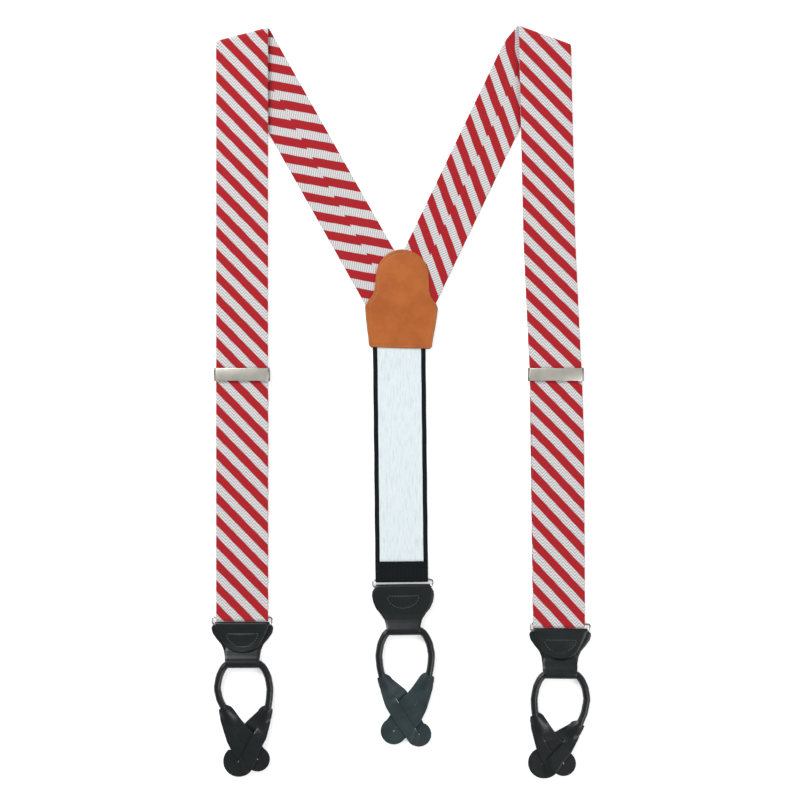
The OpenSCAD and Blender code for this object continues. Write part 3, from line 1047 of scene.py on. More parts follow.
    def upper_run(self) -> bpy.types.Object:
        """Makes the front run from the shoulder down to the adjuster's plate.

        Returns:
            The finished piece.
        """
        plan, v = self.front_centre()
        keep = (v <= -self.fold_front + 0.01) & (plan[:, 1] >= self.adjuster[1])
        plan, v = plan[keep], v[keep]
        line = np.column_stack([plan, self.height(plan[:, 1])])
        thin = np.linspace(0, len(line) - 1, 150).round().astype(int)
        top = np.append(thin[:-1], len(line) - 1)
        piece = self.ribbon(f"{self.side}_front_run", line[top], self.across_at(line)[top], v[top])
        settle(piece, f"{self.side}_front", [])
        return piece

    def lower_run(self) -> bpy.types.Object:
        """Makes the front run below the adjuster, with its loop round the ring and the layer sewn behind.

        Returns:
            The finished piece.
        """
        plan, v = self.front_centre()
        low = self.ring[1] + self.layer_end
        keep = (plan[:, 1] >= low) & (plan[:, 1] <= self.adjuster[1] + 0.5)
        plan, v = plan[keep], v[keep]
        line = np.column_stack([plan, self.height(plan[:, 1])])
        thin = np.linspace(0, len(line) - 1, 110).round().astype(int)
        line, v = line[thin], v[thin]
        over = self.across_at(line)
        bar = self.ring[1] + BAR_Y
        loop = [(low, BAR_Z - self.loop_r), (bar, BAR_Z - self.loop_r)]
        nose = [(math.cos(a), math.sin(a)) for a in np.radians(np.linspace(270, 90, 15))]
        loop += [(bar + self.loop_nose * a, BAR_Z + self.loop_r * b) for a, b in nose]
        loop += [(low, BAR_Z + self.loop_r)]
        yz = resample(np.array(loop), 0.55)[:-1]
        t = math.radians(self.ring_turn)
        foot = line[0, :2]
        x = foot[0] + (yz[:, 0] - foot[1]) * math.tan(-t)
        round_bar = np.column_stack([x, yz])
        turned_side = np.tile([math.cos(t), math.sin(t), 0.0], (len(x), 1))
        share = smoothstep((line[:, 1] - low) / 30)[:, None]
        over = turned_side[:1] * (1 - share) + over * share
        over /= np.linalg.norm(over, axis=1)[:, None]
        whole = np.vstack([round_bar, line])
        steps = np.linalg.norm(np.diff(whole[:len(x) + 1], axis=0), axis=1)
        v_loop = v[0] - np.cumsum(steps[::-1])[::-1]
        sides = np.vstack([turned_side, over])
        piece = self.ribbon(f"{self.side}_lower_run", whole, sides, np.concatenate([v_loop, v]))
        settle(piece, None, [f"{self.side}_front_strap", f"{self.side}_strap_loop"])
        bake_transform(piece)
        return piece

    def tail(self) -> bpy.types.Object:
        """Makes the sewn end that runs back up behind the front and round the adjuster's bar.

        Returns:
            The finished piece.
        """
        low = self.ring[1] + self.layer_end + 0.3
        bar = self.adjuster[1] - 3.3
        yz = [(low, 0.5), (bar - 16.5, 0.5), (bar, 0.5)]
        yz += arc_points(bar, 1.45, 0.95, -90, 90, 12) + [(bar - 5, 2.4), (bar - 11.7, 2.35), (bar - 16, 1.45)]
        yz = resample(np.array(yz), 0.8)
        x = np.interp(yz[:, 0], [self.ring[1], self.adjuster[1]], [self.ring[0], self.adjuster[0]])
        line = np.column_stack([x, yz])
        tilt = math.atan2(self.ring[0] - self.adjuster[0], self.adjuster[1] - self.ring[1])
        side = np.tile([-math.cos(tilt), -math.sin(tilt), 0.0], (len(line), 1))
        v = along(line)
        piece = self.ribbon(f"{self.side}_tail", line, side, v, self.tail_thick)
        settle(piece, None, [f"{self.side}_strap_tail"])
        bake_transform(piece)
        return piece

    def tail_stitches(self, thread: bpy.types.Material) -> bpy.types.Object:
        """Makes the row of stitches that closes the tail round the adjuster's bar.

        Args:
            thread: the stitches' finish.

        Returns:
            The finished piece.
        """
        x, y = self.adjuster
        row = np.array([[x - 15, y - 13.4, 2.95], [x + 15, y - 13.4, 2.95]])
        piece = stitch_row(f"{self.side}_tail_stitches", row, 2.5, 1.7, 0.5)
        dress(piece, thread)
        settle(piece, f"{self.side}_adjuster", [f"{self.side}_tail_stitching"])
        return piece

    def build(self, finishes: Finishes) -> None:
        """Makes every stretch of the strap.

        Args:
            finishes: the finishes of the braces.
        """
        self.fold_piece()
        self.back_run()
        self.upper_run()
        self.lower_run()
        self.tail()
        self.tail_stitches(finishes.white_thread)


# ---------------------------------------------------------------- metal


@dataclass
class Adjuster:
    """The sliding adjuster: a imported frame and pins, with a plate and its toothed lip made here."""

    side: str
    width: float = 35.4
    depth: float = 8.5
    plate_z: float = 6.05
    sheet: float = 0.8
    teeth: int = 19
    pitch: float = 1.7

    def build(self, finishes: Finishes) -> None:
        """Makes the plate, its side lugs and its teeth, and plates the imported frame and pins.

        Args:
            finishes: the finishes of the braces.
        """
        x, y, _ = centre_of(f"{self.side}_adjuster_pins")
        y -= 3.3
        deselect()
        bpy.ops.mesh.primitive_cube_add(size=1, location=(x * MM, y * MM, self.plate_z * MM),
                                        scale=(self.width * MM, self.depth * MM, self.sheet * MM))
        plate = bpy.context.object
        bpy.ops.object.transform_apply(location=True, rotation=True, scale=True)
        bpy.ops.object.mode_set(mode="EDIT")
        bpy.ops.mesh.select_mode(type="FACE")
        bpy.ops.mesh.select_all(action="SELECT")
        bpy.ops.mesh.bevel(offset=0.25 * MM, segments=3)
        bpy.ops.mesh.select_all(action="DESELECT")
        bpy.ops.object.mode_set(mode="OBJECT")
        for face in plate.data.polygons:
            face.select = face.normal.z > 0.99 and face.area > 1e-5
        bpy.ops.object.mode_set(mode="EDIT")
        bpy.ops.mesh.inset(thickness=0.5 * MM)
        bpy.ops.transform.translate(value=(0, 0, 0.12 * MM))
        bpy.ops.object.mode_set(mode="OBJECT")
        bpy.ops.object.shade_smooth_by_angle(angle=math.radians(35))
        parts = [plate]
        for s in (-1, 1):
            parts.append(block((0.7, 3.2, 1.3), (x + s * (self.width / 2 - 0.45), y + 2.6, 5.2), 0.12))
        tooth = block((0.95, 0.7, 1.2), (x - self.pitch * (self.teeth - 1) / 2, y + 3.2, 5.05), 0.1)
        parts.append(tooth)
        for k in range(1, self.teeth):
            copy = copied(tooth)
            copy.location = (k * self.pitch * MM, 0, 0)
            parts.append(copy)
        piece = joined(f"{self.side}_adjuster_plate", parts)
        dress(piece, finishes.nickel)
        settle(piece, f"{self.side}_lever", [f"{self.side}_adjuster_lever"])
        # the frame and pins take the darker nickel, which is painted shade
        for node in ("frame", "pins"):
            dress(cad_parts[f"{self.side}_adjuster_{node}"], finishes.shaded_nickel)


@dataclass
class WireRing:
    """A flat wire ring with rounded corners, lying in the strap's loop."""

    name: str
    centre: Place
    turn: float
    half_long: float = 20.05
    corner: float = 1.3
    wire: float = 0.65

    def build(self, finishes: Finishes) -> None:
        """Sweeps the wire round the ring's outline.

        Args:
            finishes: the finishes of the braces.
        """
        far, near = self.half_long - self.corner, BAR_Y - self.corner
        outline: list[Place] = []
        for x, y, start in ((far, near, 0), (-far, near, 90), (-far, -near, 180), (far, -near, 270)):
            outline += arc_points(x, y, self.corner, start, start + 90, 8)
        plan = np.array([*outline, outline[0]])
        x, y = placed(plan[:, 0], plan[:, 1], self.centre, self.turn)
        line = np.column_stack([x, y, np.full(len(x), BAR_Z)])
        d = np.roll(line[:-1], -1, axis=0) - np.roll(line[:-1], 1, axis=0)
        d = np.vstack([d, d[:1]])
        d /= np.linalg.norm(d, axis=1)[:, None]
        up = upright(len(line))
        run, across, lift = round_section(self.wire, 14)
        points = swept(line, np.cross(d, up), up, across, lift)
        piece = shell(f"{self.name}_wire_ring", points, mapped(run, along(line)), 80)
        dress(piece, finishes.wire)
        settle(piece, f"{self.name}_ring", [f"{self.name}_ring"])


# ---------------------------------------------------------------- leather


@dataclass
class Yoke:
    """The leather fold that hangs on the ring, carries the cord in its sleeve and is sewn in a D."""

    name: str
    centre: Place
    turn: float
    reach: float
    face: Face
    widths: list[Place]
    thick: float = 1.0
    bar_r: float = 1.2
    cord_z: float = 3.45
    sleeve_r: float = 2.95
    sleeve_half: float = 11.1
    sewn_y: float = -8.4
    corner: float = 0.28
    tongue: tuple[Place, ...] = (
        (-20.8, 0.8), (-20.6, 3.2), (-19.8, 6.2), (-18.4, 8.9), (-16.6, 11.0), (-14.4, 12.6), (-11.6, 14.0),
        (-8.6, 15.4), (-5.6, 16.8), (-2.3, 17.8))

    def profile(self) -> tuple[Points, Points]:
        """Side view of the fold, with the half width at each point.

        Returns:
            Points (distance from the ring's centre, height) from the tongue's tip to the sleeve's inner end, and
            the half width of the leather at each.
        """
        lay, up, r = -self.reach, BAR_Z, self.sleeve_r
        z_in, z_out = up + self.bar_r, up - self.bar_r
        curl = 1.3 if self.face is Face.FLAP_UP else 0.0
        pts: list[tuple[float, float, float]] = [(y, z_in + curl * max(0.0, (-13 - y) / 7.8) ** 1.5, w)
                                                 for y, w in self.tongue]
        pts += [(y, z, 18.1) for y, z in arc_points(-BAR_Y, up, self.bar_r, 80, -80, 10)]
        broad = [(y, w) for y, w in self.widths if y > lay + 4]
        if self.face is Face.FLAP_UP:
            pts += [(y, z_out, w) for y, w in broad]
            pts += [(y, z, self.sleeve_half) for y, z in arc_points(lay, self.cord_z, r, -80, -298, 20)]
            pts += [(lay + 3.0, 5.85, 11.2), (lay + 4.7, 5.05, 11.3), (lay + 6.4, 3.95, 11.3), (lay + 8.0, 2.9, 11.2),
                    (lay + 10.0, 2.1, 11.0), (lay + 14.0, up, 10.4)]
            return self.eased(np.array(pts))
        flipped = [(y, 2 * up - z, w) for y, z, w in pts]
        flipped += [(y, 2 * up - z_out + 1.6 * max(0.0, (lay + 12 - y) / 8) ** 2, w) for y, w in broad]
        flipped += [(y, z, self.sleeve_half) for y, z in arc_points(lay, self.cord_z, r, 62, 280, 20)]
        flipped += [(lay + 3.0, 0.75, 11.0), (lay + 6.5, 1.5, 10.8), (lay + 14.0, up, 10.4)]
        return self.eased(np.array(flipped))

    def eased(self, pts: Points) -> tuple[Points, Points]:
        """Samples the side view evenly and rounds it a little.

        Args:
            pts: distance, height and half width at its corners.

        Returns:
            Points of the side view, and the half width at each.
        """
        fine = resample(smooth_line(pts, 0.12, 1.3), 0.42)
        return fine[:, :2], fine[:, 2]

    def build(self, finishes: Finishes) -> None:
        """Sweeps the leather along its side view and sews it.

        Args:
            finishes: the finishes of the braces.
        """
        side_view, half = self.profile()
        flip = 1.0 if self.face is Face.FLAP_UP else -1.0
        k, rim = 15, 5
        flat, level = np.linspace(-1, 1, k), np.zeros(k)
        bend = np.radians(np.linspace(0, 180, rim + 2)[1:-1])
        u = np.concatenate([flat, np.ones(rim), flat[::-1], -np.ones(rim), flat[:1]])
        box_z = np.concatenate([level + 0.5, 0.5 * np.cos(bend), level - 0.5, -0.5 * np.cos(bend), [0.5]])
        pull = np.concatenate([level, self.corner * np.sin(bend), level, -self.corner * np.sin(bend), [0]])
        across = half[:, None] * u[None, :] * 0.999 + pull[None, :] * (half[:, None] > 2)
        lift = box_z[None, :] * self.thick + (1 - u[None, :] ** 2) * 0.10 + self.dents(side_view, across)
        line = np.column_stack([np.zeros(len(half)), side_view])
        side = np.tile([flip, 0.0, 0.0], (len(half), 1))
        points = swept(line, side, np.cross(side, directions(line)), across, lift)
        points[..., 0], points[..., 1] = placed(points[..., 0], points[..., 1], self.centre, self.turn)
        steps = np.ones(len(u) - 1, bool)
        steps[:k - 1] = False
        steps[k + rim:2 * k + rim - 1] = False
        piece = shell(f"{self.name}_yoke_leather", points, mapped(u * 15, along(line)), 50, steps)
        # the rim steps take the cut-edge finish, a pale grey that is painted highlight
        dress(piece, finishes.black, finishes.cut)
        settle(piece, f"{self.name}_yoke", [f"{self.name}_yoke"])
        self.stitches(finishes)

    def dents(self, side_view: Points, across: Points) -> Points:
        """Finds the depth of the sewn D and of its plump middle.

        Args:
            side_view: points of the side view.
            across: distances across at each of them.

        Returns:
            The depth at every point of the sweep.
        """
        y = side_view[:, :1]
        below = y - self.sewn_y
        high = side_view[:, 1:] > BAR_Z
        ring = np.hypot(across / 10.9, np.minimum(below, 0) / 8.5)
        trench = -0.16 * np.exp(-((ring - 1) / 0.055) ** 2) * (below < 0)
        row = -0.16 * np.exp(-(below / 0.55) ** 2) * (np.abs(across) < 10.9)
        dent = np.minimum(trench, row) * (y > -19)
        plump = 0.22 * np.clip(1 - ring ** 2, 0, 1) * (y < -8.8) * (y > -18)
        return np.where(high, dent + plump, 0)

    def stitches(self, finishes: Finishes) -> None:
        """Sews the D through the tongue.

        Args:
            finishes: the finishes of the braces.
        """
        top = BAR_Z + self.bar_r + self.thick / 2 + 0.10
        arc = arc_points(0, 0, 1, 0, -180, 24)
        plan = np.array([(-10.6, self.sewn_y)] + [(10.6 * a, self.sewn_y + 8.2 * b) for a, b in arc])
        x, y = placed(plan[:, 0], plan[:, 1], self.centre, self.turn)
        row = np.column_stack([x, y, np.full(len(x), top)])
        piece = stitch_row(f"{self.name}_yoke_stitches", row, 1.9, 1.45, 0.42)
        dress(piece, finishes.black_thread)
        settle(piece, f"{self.name}_yoke", [f"{self.name}_yoke_stitching"])


@dataclass
class Tab:
    """A leather leaf with a slit and a buttonhole, growing out of the cord's end."""

    name: str
    neck: Place
    disc: Place
    disc_r: float
    through: bool
    upper: int = 0
    outer: int = 1
    slit_start: float = 14.5
    hole_r: float = 0.4
    thick: float = 1.15
    matt: bool = False

    def frame_at(self) -> tuple[Points, Points, float]:
        """Finds the leaf's own directions.

        Returns:
            Unit vectors down the leaf and to its +X side, and the length from neck to buttonhole.
        """
        d = np.array(self.disc) - np.array(self.neck)
        reach = float(np.linalg.norm(d))
        down = d / reach
        return down, np.array([-down[1], down[0]]), reach

    def edges(self, v: Points, reach: float) -> tuple[Points, Points, Points]:
        """Shapes the leaf's outline.

        Args:
            v: distances from the neck.
            reach: distance of the buttonhole from the neck.

        Returns:
            Distances from the axis to the outer edge, the inner edge and the slit.
        """
        disc = np.sqrt(np.clip(self.disc_r ** 2 - (v - reach) ** 2, 0, None))
        if self.through:
            out = np.interp(v, [-1.5, 0, 2, 5.7, 20, 30, reach - 4, reach + 1],
                            [2.9, 3.9, 5.0, 6.8, 10.9, 12.0, 9.8, self.disc_r])
            into = np.interp(v, [-1.5, 0, 1.5, 4, 15.5, 23.5, reach - 5],
                             [2.4, 3.6, 4.4, 4.6, 5.7, 7.1, self.disc_r * 0.9])
            slit = np.interp(v, [0, 4, 24, reach - 4], [0, -3.0, -3.0, 0])
        else:
            out = np.interp(v, [-1.5, 0, 2.8, 8, 18, 27, reach - 4],
                            [2.6, 3.4, 4.2, 6.2, 8.8, 8.9, self.disc_r])
            into = np.interp(v, [-1.5, 0, 1.5, 4, 15.7, 27, reach - 6],
                             [2.4, 3.6, 4.4, 4.9, 8.6, 8.4, self.disc_r * 0.8])
            slit = np.zeros(len(v))
        ease = np.hanning(7)[1:-1] / np.hanning(7).sum()
        out, into, slit = (np.convolve(np.pad(w, 2, mode="edge"), ease, mode="valid") for w in (out, into, slit))
        end, near = np.maximum(disc, 0.9), v > reach - 4
        out, into = (np.where(v > reach, end, np.where(near, np.maximum(w, disc), w)) for w in (out, into))
        return out, into, slit

    def build(self, centre: Place, turn: float, finishes: Finishes) -> None:
        """Makes the leaf as one sheet with its slit open, then gives it its thickness.

        Args:
            centre: place of the cord loop's own frame.
            turn: turn of that frame in degrees.
            finishes: the finishes of the braces.
        """
        down, over, reach = self.frame_at()
        half_cols = 9
        body = np.linspace(-1.5, reach + 2.6, 74)
        end = reach + self.disc_r * np.sin(np.radians(np.linspace(20, 88, 12)))
        v = np.concatenate([body[body < end[0] - 0.2], end])
        rows = len(v)
        out, into, slit = self.edges(v, reach)
        right, left = (out, into) if self.outer > 0 else (into, out)
        slit = slit * -self.outer
        gap = 0.05 * smoothstep((v - self.slit_start) / 4)
        hole = np.sqrt(np.clip(self.hole_r ** 2 - (v - reach) ** 2, 0, None))
        inner = np.where(v > reach, hole, np.maximum(gap, hole))
        k = np.arange(half_cols) / (half_cols - 1)
        plus = (slit + inner)[:, None] + (right - slit - inner)[:, None] * k[None, :]
        minus = (slit - inner)[:, None] - (left + slit - inner)[:, None] * k[None, :]
        x = np.concatenate([minus[:, ::-1], plus], axis=1)
        beside = np.concatenate([np.full(half_cols, -1.0), np.full(half_cols, 1.0)])[None, :]
        share = np.concatenate([np.tile(k[::-1], (rows, 1)), np.tile(k, (rows, 1))], axis=1)
        z = self.heights(x, v[:, None], reach, beside, share)
        plan = np.array(self.neck) + v[:, None, None] * down + x[..., None] * over
        px, py = placed(plan[..., 0], plan[..., 1], centre, turn)
        piece = self.leaf(np.stack([px, py, z], axis=2))
        # the solidified rim takes the cut-edge finish, a pale grey that is painted highlight
        dress(piece, finishes.suede if self.matt else finishes.black, finishes.cut)
        settle(piece, self.name, [self.name])

    def leaf(self, points: Points) -> bpy.types.Object:
        """Shapes a grid into the leaf, opens the slit and thickens it.

        Args:
            points: positions by row and column in millimetres.

        Returns:
            The finished piece.
        """
        piece, i, _ = grid(f"{self.name}_leather", points)
        mesh = piece.data
        middle = points.shape[1] // 2
        bpy.ops.object.mode_set(mode="EDIT")
        bpy.ops.mesh.select_mode(type="FACE")
        bpy.ops.mesh.select_all(action="DESELECT")
        bpy.ops.object.mode_set(mode="OBJECT")
        for face in mesh.polygons:
            face.select = all(i[n] in (middle - 1, middle) for n in face.vertices)
        bpy.ops.object.mode_set(mode="EDIT")
        bpy.ops.mesh.delete(type="FACE")
        bpy.ops.mesh.select_all(action="SELECT")
        bpy.ops.mesh.remove_doubles(threshold=2e-6)
        bpy.ops.mesh.normals_make_consistent(inside=False)
        bpy.ops.object.mode_set(mode="OBJECT")
        if mesh.polygons[len(mesh.polygons) // 2].normal.z < 0:
            mesh.flip_normals()
        solid = piece.modifiers.new("thickness", "SOLIDIFY")
        solid.thickness, solid.offset = self.thick * MM, 0
        solid.material_offset_rim = 1
        edge = piece.modifiers.new("edge", "BEVEL")
        edge.width, edge.segments, edge.limit_method = 0.22 * MM, 2, "ANGLE"
        edge.angle_limit = math.radians(50)
        for name in ("thickness", "edge"):
            bpy.ops.object.modifier_apply(modifier=name)
        bpy.ops.object.shade_smooth_by_angle(angle=math.radians(40))
        return piece

    def heights(self, x: Points, v: Points, reach: float, beside: Points, share: Points) -> Points:
        """Height of the leaf's middle: arched at the neck, then lying below, between or above its pair.

        Args:
            x: distances across.
            v: distances from the neck.
            reach: distance of the buttonhole from the neck.
            beside: -1 on one side of the slit and 1 on the other.
            share: distance from the slit, from 0 to 1 at the edge.

        Returns:
            The heights.
        """
        arch = 1 - smoothstep((v - 0.5) / 14)
        round_top = 5.15 - 2.9 * np.clip(np.abs(x) / 4.6, 0, 1) ** 2
        if self.through:
            lie = 2.3 + 0.25 * (1 - share ** 2) * smoothstep((20 - v) / 6)
            return lie * (1 - arch) + round_top * arch
        split = smoothstep((v - self.slit_start) / 5.0)
        lift = 1.7 * beside * self.upper * (split + (1 - split) * smoothstep((v - 3) / 9) * share ** 0.8)
        fall = smoothstep((v - (reach - 6.5 + 5 * np.clip(np.abs(x) / 7, 0, 1))) / 8.5)
        high = 2.3 + lift - (1.65 + lift) * fall * (beside * self.upper > 0)
        low = np.where(beside * self.upper > 0, high, 2.3 + lift - (1.65 + lift) * smoothstep((v - 18) / 8))
        return low * (1 - arch) + round_top * arch


@dataclass
class CordLoop:
    """The rolled leather cord through the yoke's sleeve, ending in two tabs."""

    name: str
    centre: Place
    turn: float
    necks: list[Place]
    tabs: list[Tab]
    z: float = 3.45
    radius: float = 2.4
    straight: float = 9.5
    wide: Place = (17.8, -17.0)

    def half_path(self, neck: Place, side: int) -> list[Place]:
        """Finds the middle line from inside the sleeve to one tab.

        Args:
            neck: where the tab begins.
            side: -1 for the left tab and 1 for the right one.

        Returns:
            Its corner points.
        """
        nx, ny = neck[0] * side, neck[1]
        lead = np.array([nx - self.wide[0], ny - self.wide[1] - 8])
        lead = lead / np.linalg.norm(lead)
        between = (self.wide[0] + 0.35 * (nx - self.wide[0]), 0.45 * self.wide[1] + 0.55 * ny)
        pts = [(self.straight - 4, 0.0), (self.straight, 0.0), (11.6, -1.1), (13.9, -3.6), (16.4, -9.0),
               self.wide, between, (nx, ny), (nx + 3.2 * lead[0], ny + 3.2 * lead[1])]
        return [(x * side, y) for x, y in pts]

    def build(self, finishes: Finishes) -> None:
        """Sweeps the cord from tab to tab, with its rolled seam, then makes the tabs.

        Args:
            finishes: the finishes of the braces.
        """
        left = self.half_path(self.necks[0], -1)
        right = self.half_path(self.necks[1], 1)
        plan = resample(smooth_line([*left[::-1], *right], 0.25, 6.0), 1.0)
        s = along(plan)
        x, y = placed(plan[:, 0], plan[:, 1], self.centre, self.turn)
        line = np.column_stack([x, y, np.full(len(x), self.z)])
        angle, across, lift = round_section(1.0, 28)
        taper = 0.45 + 0.55 * smoothstep(np.minimum(s, s[-1] - s) / 4.2)
        snug = 1 - 0.02 * smoothstep(1 - np.abs(s - s[-1] / 2) / 12)
        ripple = 1 + 0.018 * np.sin(s * 1.9) * np.sin(s * 0.53 + 1.0)
        seam = 1 - 0.13 * np.exp(-((np.abs(angle) - 1.15) / 0.16) ** 2) * (angle > 0)
        size = self.radius * (taper * snug * ripple)[:, None] * seam[None, :]
        up = upright(len(line))
        points = swept(line, np.cross(directions(line), up), up, size * across, size * lift)
        piece = shell(f"{self.name}_rolled_cord", points, mapped(angle * self.radius, s), 60)
        dress(piece, finishes.black)
        settle(piece, f"{self.name}_loop", [f"{self.name}_cord_loop"])
        for tab in self.tabs:
            tab.build(self.centre, self.turn, finishes)


# ---------------------------------------------------------------- back


@dataclass
class BackPatch:
    """The sewn leather patch where both straps meet the elastic."""

    middle: Place = (-0.2, 70.0)
    turn: float = -1.6
    top: float = 103.2
    low: float = 37.1
    hub: Place = (0.0, 68.0)
    outer_z: Place = (0.0, 1.1)
    face_z: Place = (2.4, 3.5)

    def outline(self) -> Points:
        """Draws the patch: a dome on spreading shoulders with a straight foot.

        Returns:
            Its closed outline.
        """
        half = [(0.0, self.top)] + arc_points(0, self.top - 17.8, 17.8, 84, 8, 16)
        half += [(18.3, 80), (18.6, 76), (19.6, 72.4), (21.3, 69.8), (22.9, 67.6)]
        half += arc_points(21.6, 64.4, 2.6, 40, -8, 6) + [(23.6, 58), (22.6, 50), (21.6, 44)]
        half += arc_points(18.6, self.low + 2.6, 2.6, -10, -84, 6) + [(10, self.low - 0.1), (0, self.low - 0.2)]
        ring = half + [(-x, y) for x, y in half[-2:0:-1]]
        return resample(np.array([*ring, ring[0]]), 1.15)

    def inset(self, depth: float) -> tuple[Points, Points]:
        """Moves the outline in towards the hub.

        Args:
            depth: how far in, or out where it is negative. It stops at the hub.

        Returns:
            Coordinates across and up, before the patch is turned to its place.
        """
        spoke = self.outline() - self.hub
        far = np.linalg.norm(spoke, axis=1)
        ring = self.hub + spoke * np.clip((far - depth) / far, 0, None)[:, None]
        return ring[:, 0], ring[:, 1]

    def cushion(self, name: str, grow: float, profile: list[Place], sag: float) -> bpy.types.Object:
        """Makes a thin closed cushion over the outline.

        Args:
            name: the piece's name.
            grow: how far it stands out beyond the outline.
            profile: pairs of distance in from the edge and height, from the top's middle round to the underside's.
            sag: how far the middle of its top rises over the layers beneath.

        Returns:
            The finished piece.
        """
        rows = []
        for depth, z in profile:
            x, y = self.inset(depth - grow)
            rows.append(np.column_stack([x, y, np.full(len(x), z)]))
        points = np.array(rows)
        top_side = np.arange(len(profile))[:, None] < len(profile) // 2
        reach = np.linalg.norm((points[..., :2] - self.hub) / [24, 34], axis=2)
        points[..., 2] += np.where(top_side, sag * np.clip(1 - reach ** 2, 0, 1), 0)
        points[..., 0], points[..., 1] = placed(points[..., 0], points[..., 1] - self.middle[1], self.middle, self.turn)
        return shell(name, points, points[..., :2].copy(), 50)

    def build(self, finishes: Finishes) -> None:
        """Makes the black outer leather, the tan face and its row of stitches.

        Args:
            finishes: the finishes of the braces.
        """
        low, high = self.outer_z
        black = self.cushion("patch_black_leather", 0.35, [
            (99, high), (8, high), (2, high), (0.5, high - 0.06), (0.1, high - 0.3), (0, high - 0.55),
            (0.15, low + 0.2), (0.5, low + 0.02), (2, low), (8, low), (99, low)], 0.0)
        dress(black, finishes.black)
        settle(black, "back_panel", ["patch_outer"])
        low, high = self.face_z
        steps = [(99, high), (16, high), (12, high), (8, high), (5, high), (3.2, high), (2.6, high - 0.02),
                 (2.2, high - 0.16), (1.8, high - 0.2), (1.4, high - 0.16), (1.0, high - 0.04), (0.6, high - 0.06),
                 (0.25, high - 0.2), (0.05, high - 0.45), (0.0, high - 0.7), (0.1, low + 0.15), (0.4, low),
                 (2, low), (5, low), (8, low), (12, low), (16, low), (20, low), (99, low)]
        face = self.cushion("patch_tan_leather", 0.0, steps, 0.35)
        dress(face, finishes.tan)
        settle(face, "back_panel", ["patch_lining"])
        x, y = self.inset(1.8)
        x, y = placed(x, y - self.middle[1], self.middle, self.turn)
        path = np.column_stack([x, y, np.full(len(x), high - 0.08)])
        piece = stitch_row("patch_stitches", path, 2.1, 1.5, 0.42)
        dress(piece, finishes.tan_thread)
        settle(piece, "back_panel", ["patch_stitching"])


@dataclass
class Elastic:
    """The white elastic band from the patch to its black end on the ring."""

    foot: Place = (-0.1, -121.3)
    turn: float = 0.65
    half: float = 17.8
    thick: float = 1.0
    top: float = 171.0
    low_z: float = 0.7
    patch_z: float = 1.65
    wrap_r: float = 1.2
    black_end: Place = (14.65, 1.78)

    def band(self, name: str, yz: Points) -> tuple[bpy.types.Object, float]:
        """Sweeps a flat band along a side view in the elastic's own frame.

        Args:
            name: the piece's name.
            yz: points along it, distance and height.

        Returns:
            The piece and its length.
        """
        x, y = placed(np.zeros(len(yz)), yz[:, 0], self.foot, self.turn)
        line = np.column_stack([x, y, yz[:, 1]])
        t = math.radians(self.turn)
        side = np.tile([math.cos(t), math.sin(t), 0.0], (len(line), 1))
        run, across, lift = flat_section(self.half, self.thick, 12)
        crown = np.where(lift > 0, 0.06 * (1 - (across / self.half) ** 2), 0)
        v = along(line)
        pull = 1 - 0.006 * np.sin(v * 0.11) ** 2
        normal = np.cross(side, directions(line))
        points = swept(line, side, normal, across[None, :] * pull[:, None], lift + crown)
        return shell(name, points, mapped(run, v), 60), float(v[-1])

    def build(self, finishes: Finishes) -> None:
        """Makes the white band, its black end round the ring, and the stitches across it.

        Args:
            finishes: the finishes of the braces.
        """
        low, high = self.low_z, self.patch_z
        yz = smooth_line([(14.5, low), (140, low), (158, high), (self.top, high)], 0.5, 10)
        piece, length = self.band("white_elastic_band", resample(yz, 1.6))
        dress(piece, finishes.elastic)
        settle(piece, None, ["elastic_strap"])
        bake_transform(piece)
        r = self.wrap_r
        wrap = [(14.6, BAR_Z - r), (BAR_Y, BAR_Z - r)] + arc_points(BAR_Y, BAR_Z, r, 270, 90, 14)
        wrap += [(BAR_Y + 2, BAR_Z + r), self.black_end]
        piece, length = self.band("black_elastic_end", resample(np.array(wrap), 0.5))
        dress(piece, finishes.elastic_black)
        settle(piece, "elastic_end", ["elastic_end"])
        parts = []
        for k, back in enumerate((12.4, 10.8)):
            x, y = placed(np.array([-15.0, 15.0]), np.array([back, back]), self.foot, self.turn)
            height = np.interp(back, [4.3, 13.95], [3.1, 1.78]) + 0.52
            row = np.column_stack([x, y, np.full(2, height)])
            parts.append(stitch_row(f"elastic_row_{k}", row, 2.5, 1.7, 0.45))
        piece = joined("elastic_stitches", parts)
        dress(piece, finishes.elastic_black)
        settle(piece, "elastic_end", ["elastic_stitching"])


# ---------------------------------------------------------------- stage


